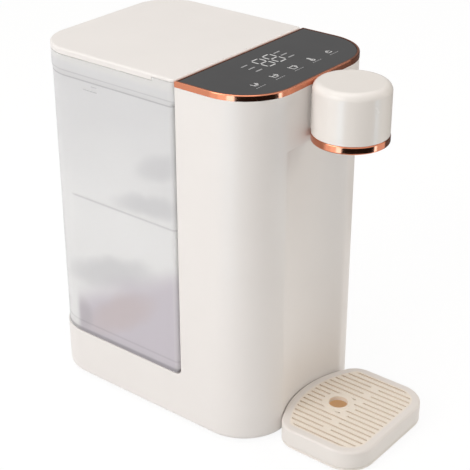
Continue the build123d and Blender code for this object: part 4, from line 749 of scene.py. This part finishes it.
def soft_lamp(name, place, target, size, power, colour, mirrored=True):
    """Square studio lamp at a place, turned to a target; mirrored says whether polished parts show it."""
    lamp = bpy.data.lights.new(name, "AREA")
    lamp.size = size
    lamp.energy = power
    lamp.color = colour
    holder = bpy.data.objects.new(name, lamp)
    aim = np.array(target) - np.array(place)
    flat = math.hypot(aim[0], aim[1])
    holder.location = place
    holder.visible_glossy = mirrored
    holder.rotation_euler = (math.atan2(flat, -aim[2]), 0.0, math.atan2(-aim[0], aim[1]))
    bpy.context.scene.collection.objects.link(holder)


soft_lamp("side_lamp", (-2.2, 0.5, 1.3), (0, 0.03, 0.15), 1.6, 26.0, (1.0, 0.99, 0.99))
soft_lamp("top_lamp", (-0.2, 0.3, 2.4), (0, 0.03, 0.2), 1.8, 21.3, (1.0, 0.99, 0.98))
soft_lamp("front_lamp", (2.1, -1.7, 0.9), (0, 0.0, 0.10), 1.2, 18.0, (1.0, 0.93, 0.84), mirrored=False)


def glint_card(name, near, far, level, colour=WHITE):
    """Card between two edges, whole rows of points, that is seen only in polished parts."""
    data = bpy.data.meshes.new(name)
    data.from_pydata(np.vstack([near, far]).tolist(), [], grid_faces(2, len(near), False).tolist())
    card = bpy.data.objects.new(name, data)
    bpy.context.scene.collection.objects.link(card)
    material = bpy.data.materials.new(name)
    material.use_nodes = True
    shader = material.node_tree.nodes["Principled BSDF"]
    set_shader(shader, Base_Color=BLACK, Roughness=1.0, Specular_IOR_Level=0.0)
    set_shader(shader, Emission_Color=colour, Emission_Strength=level)
    data.materials.append(material)
    card.visible_camera = False
    card.visible_diffuse = False
    card.visible_shadow = False
    card.visible_transmission = False


CARD_POINTS = 24
FLOOR_CARD_NEAR = 0.34
FLOOR_CARD_FAR = 4.5
FLOOR_CARD_HEIGHT = 0.002
WALL_CARD_RADIUS = 3.0
COOL = (1.0, 1.45, 1.80, 1.0)


def card_edge(radius, start, end, height):
    """Points on a circle round the object between two bearings, at one height."""
    circle = arc((0.0, 0.0), radius, start, end, CARD_POINTS)
    return np.hstack([circle, np.full((CARD_POINTS, 1), height)])


def floor_card(name, start, end, level, colour=WHITE):
    """Card flat on the floor: a ring sector between two bearings."""
    near = card_edge(FLOOR_CARD_NEAR, start, end, FLOOR_CARD_HEIGHT)
    far = card_edge(FLOOR_CARD_FAR, start, end, FLOOR_CARD_HEIGHT)
    glint_card(name, near, far, level, colour)


def wall_card(name, start, end, low, high, level):
    """Upright card: a part of a cylinder between two bearings and two heights."""
    foot = card_edge(WALL_CARD_RADIUS, start, end, low)
    head = card_edge(WALL_CARD_RADIUS, start, end, high)
    glint_card(name, foot, head, level)


# Dark and bright cards round the object, for the dark and light reflections in its copper bands
floor_card("dark_card", 198, 283, 0.02)
floor_card("left_soft_card", 150, 166, 1.3)
floor_card("left_pale_card", 166, 183, 1.6)
floor_card("left_bright_card", 183, 198, 2.2, COOL)
floor_card("right_bright_card", 283, 290, 2.4, COOL)
floor_card("right_half_card", -40.5, -38.3, 0.60)
floor_card("right_dim_card", -38.3, 50, 0.15)
wall_card("right_wall_card", -36, 12, 0.0, 2.4, 0.12)
wall_card("back_dim_card", 12, 66, 0.2, 2.2, 0.26)

bpy.context.scene.view_settings.view_transform = "Standard"
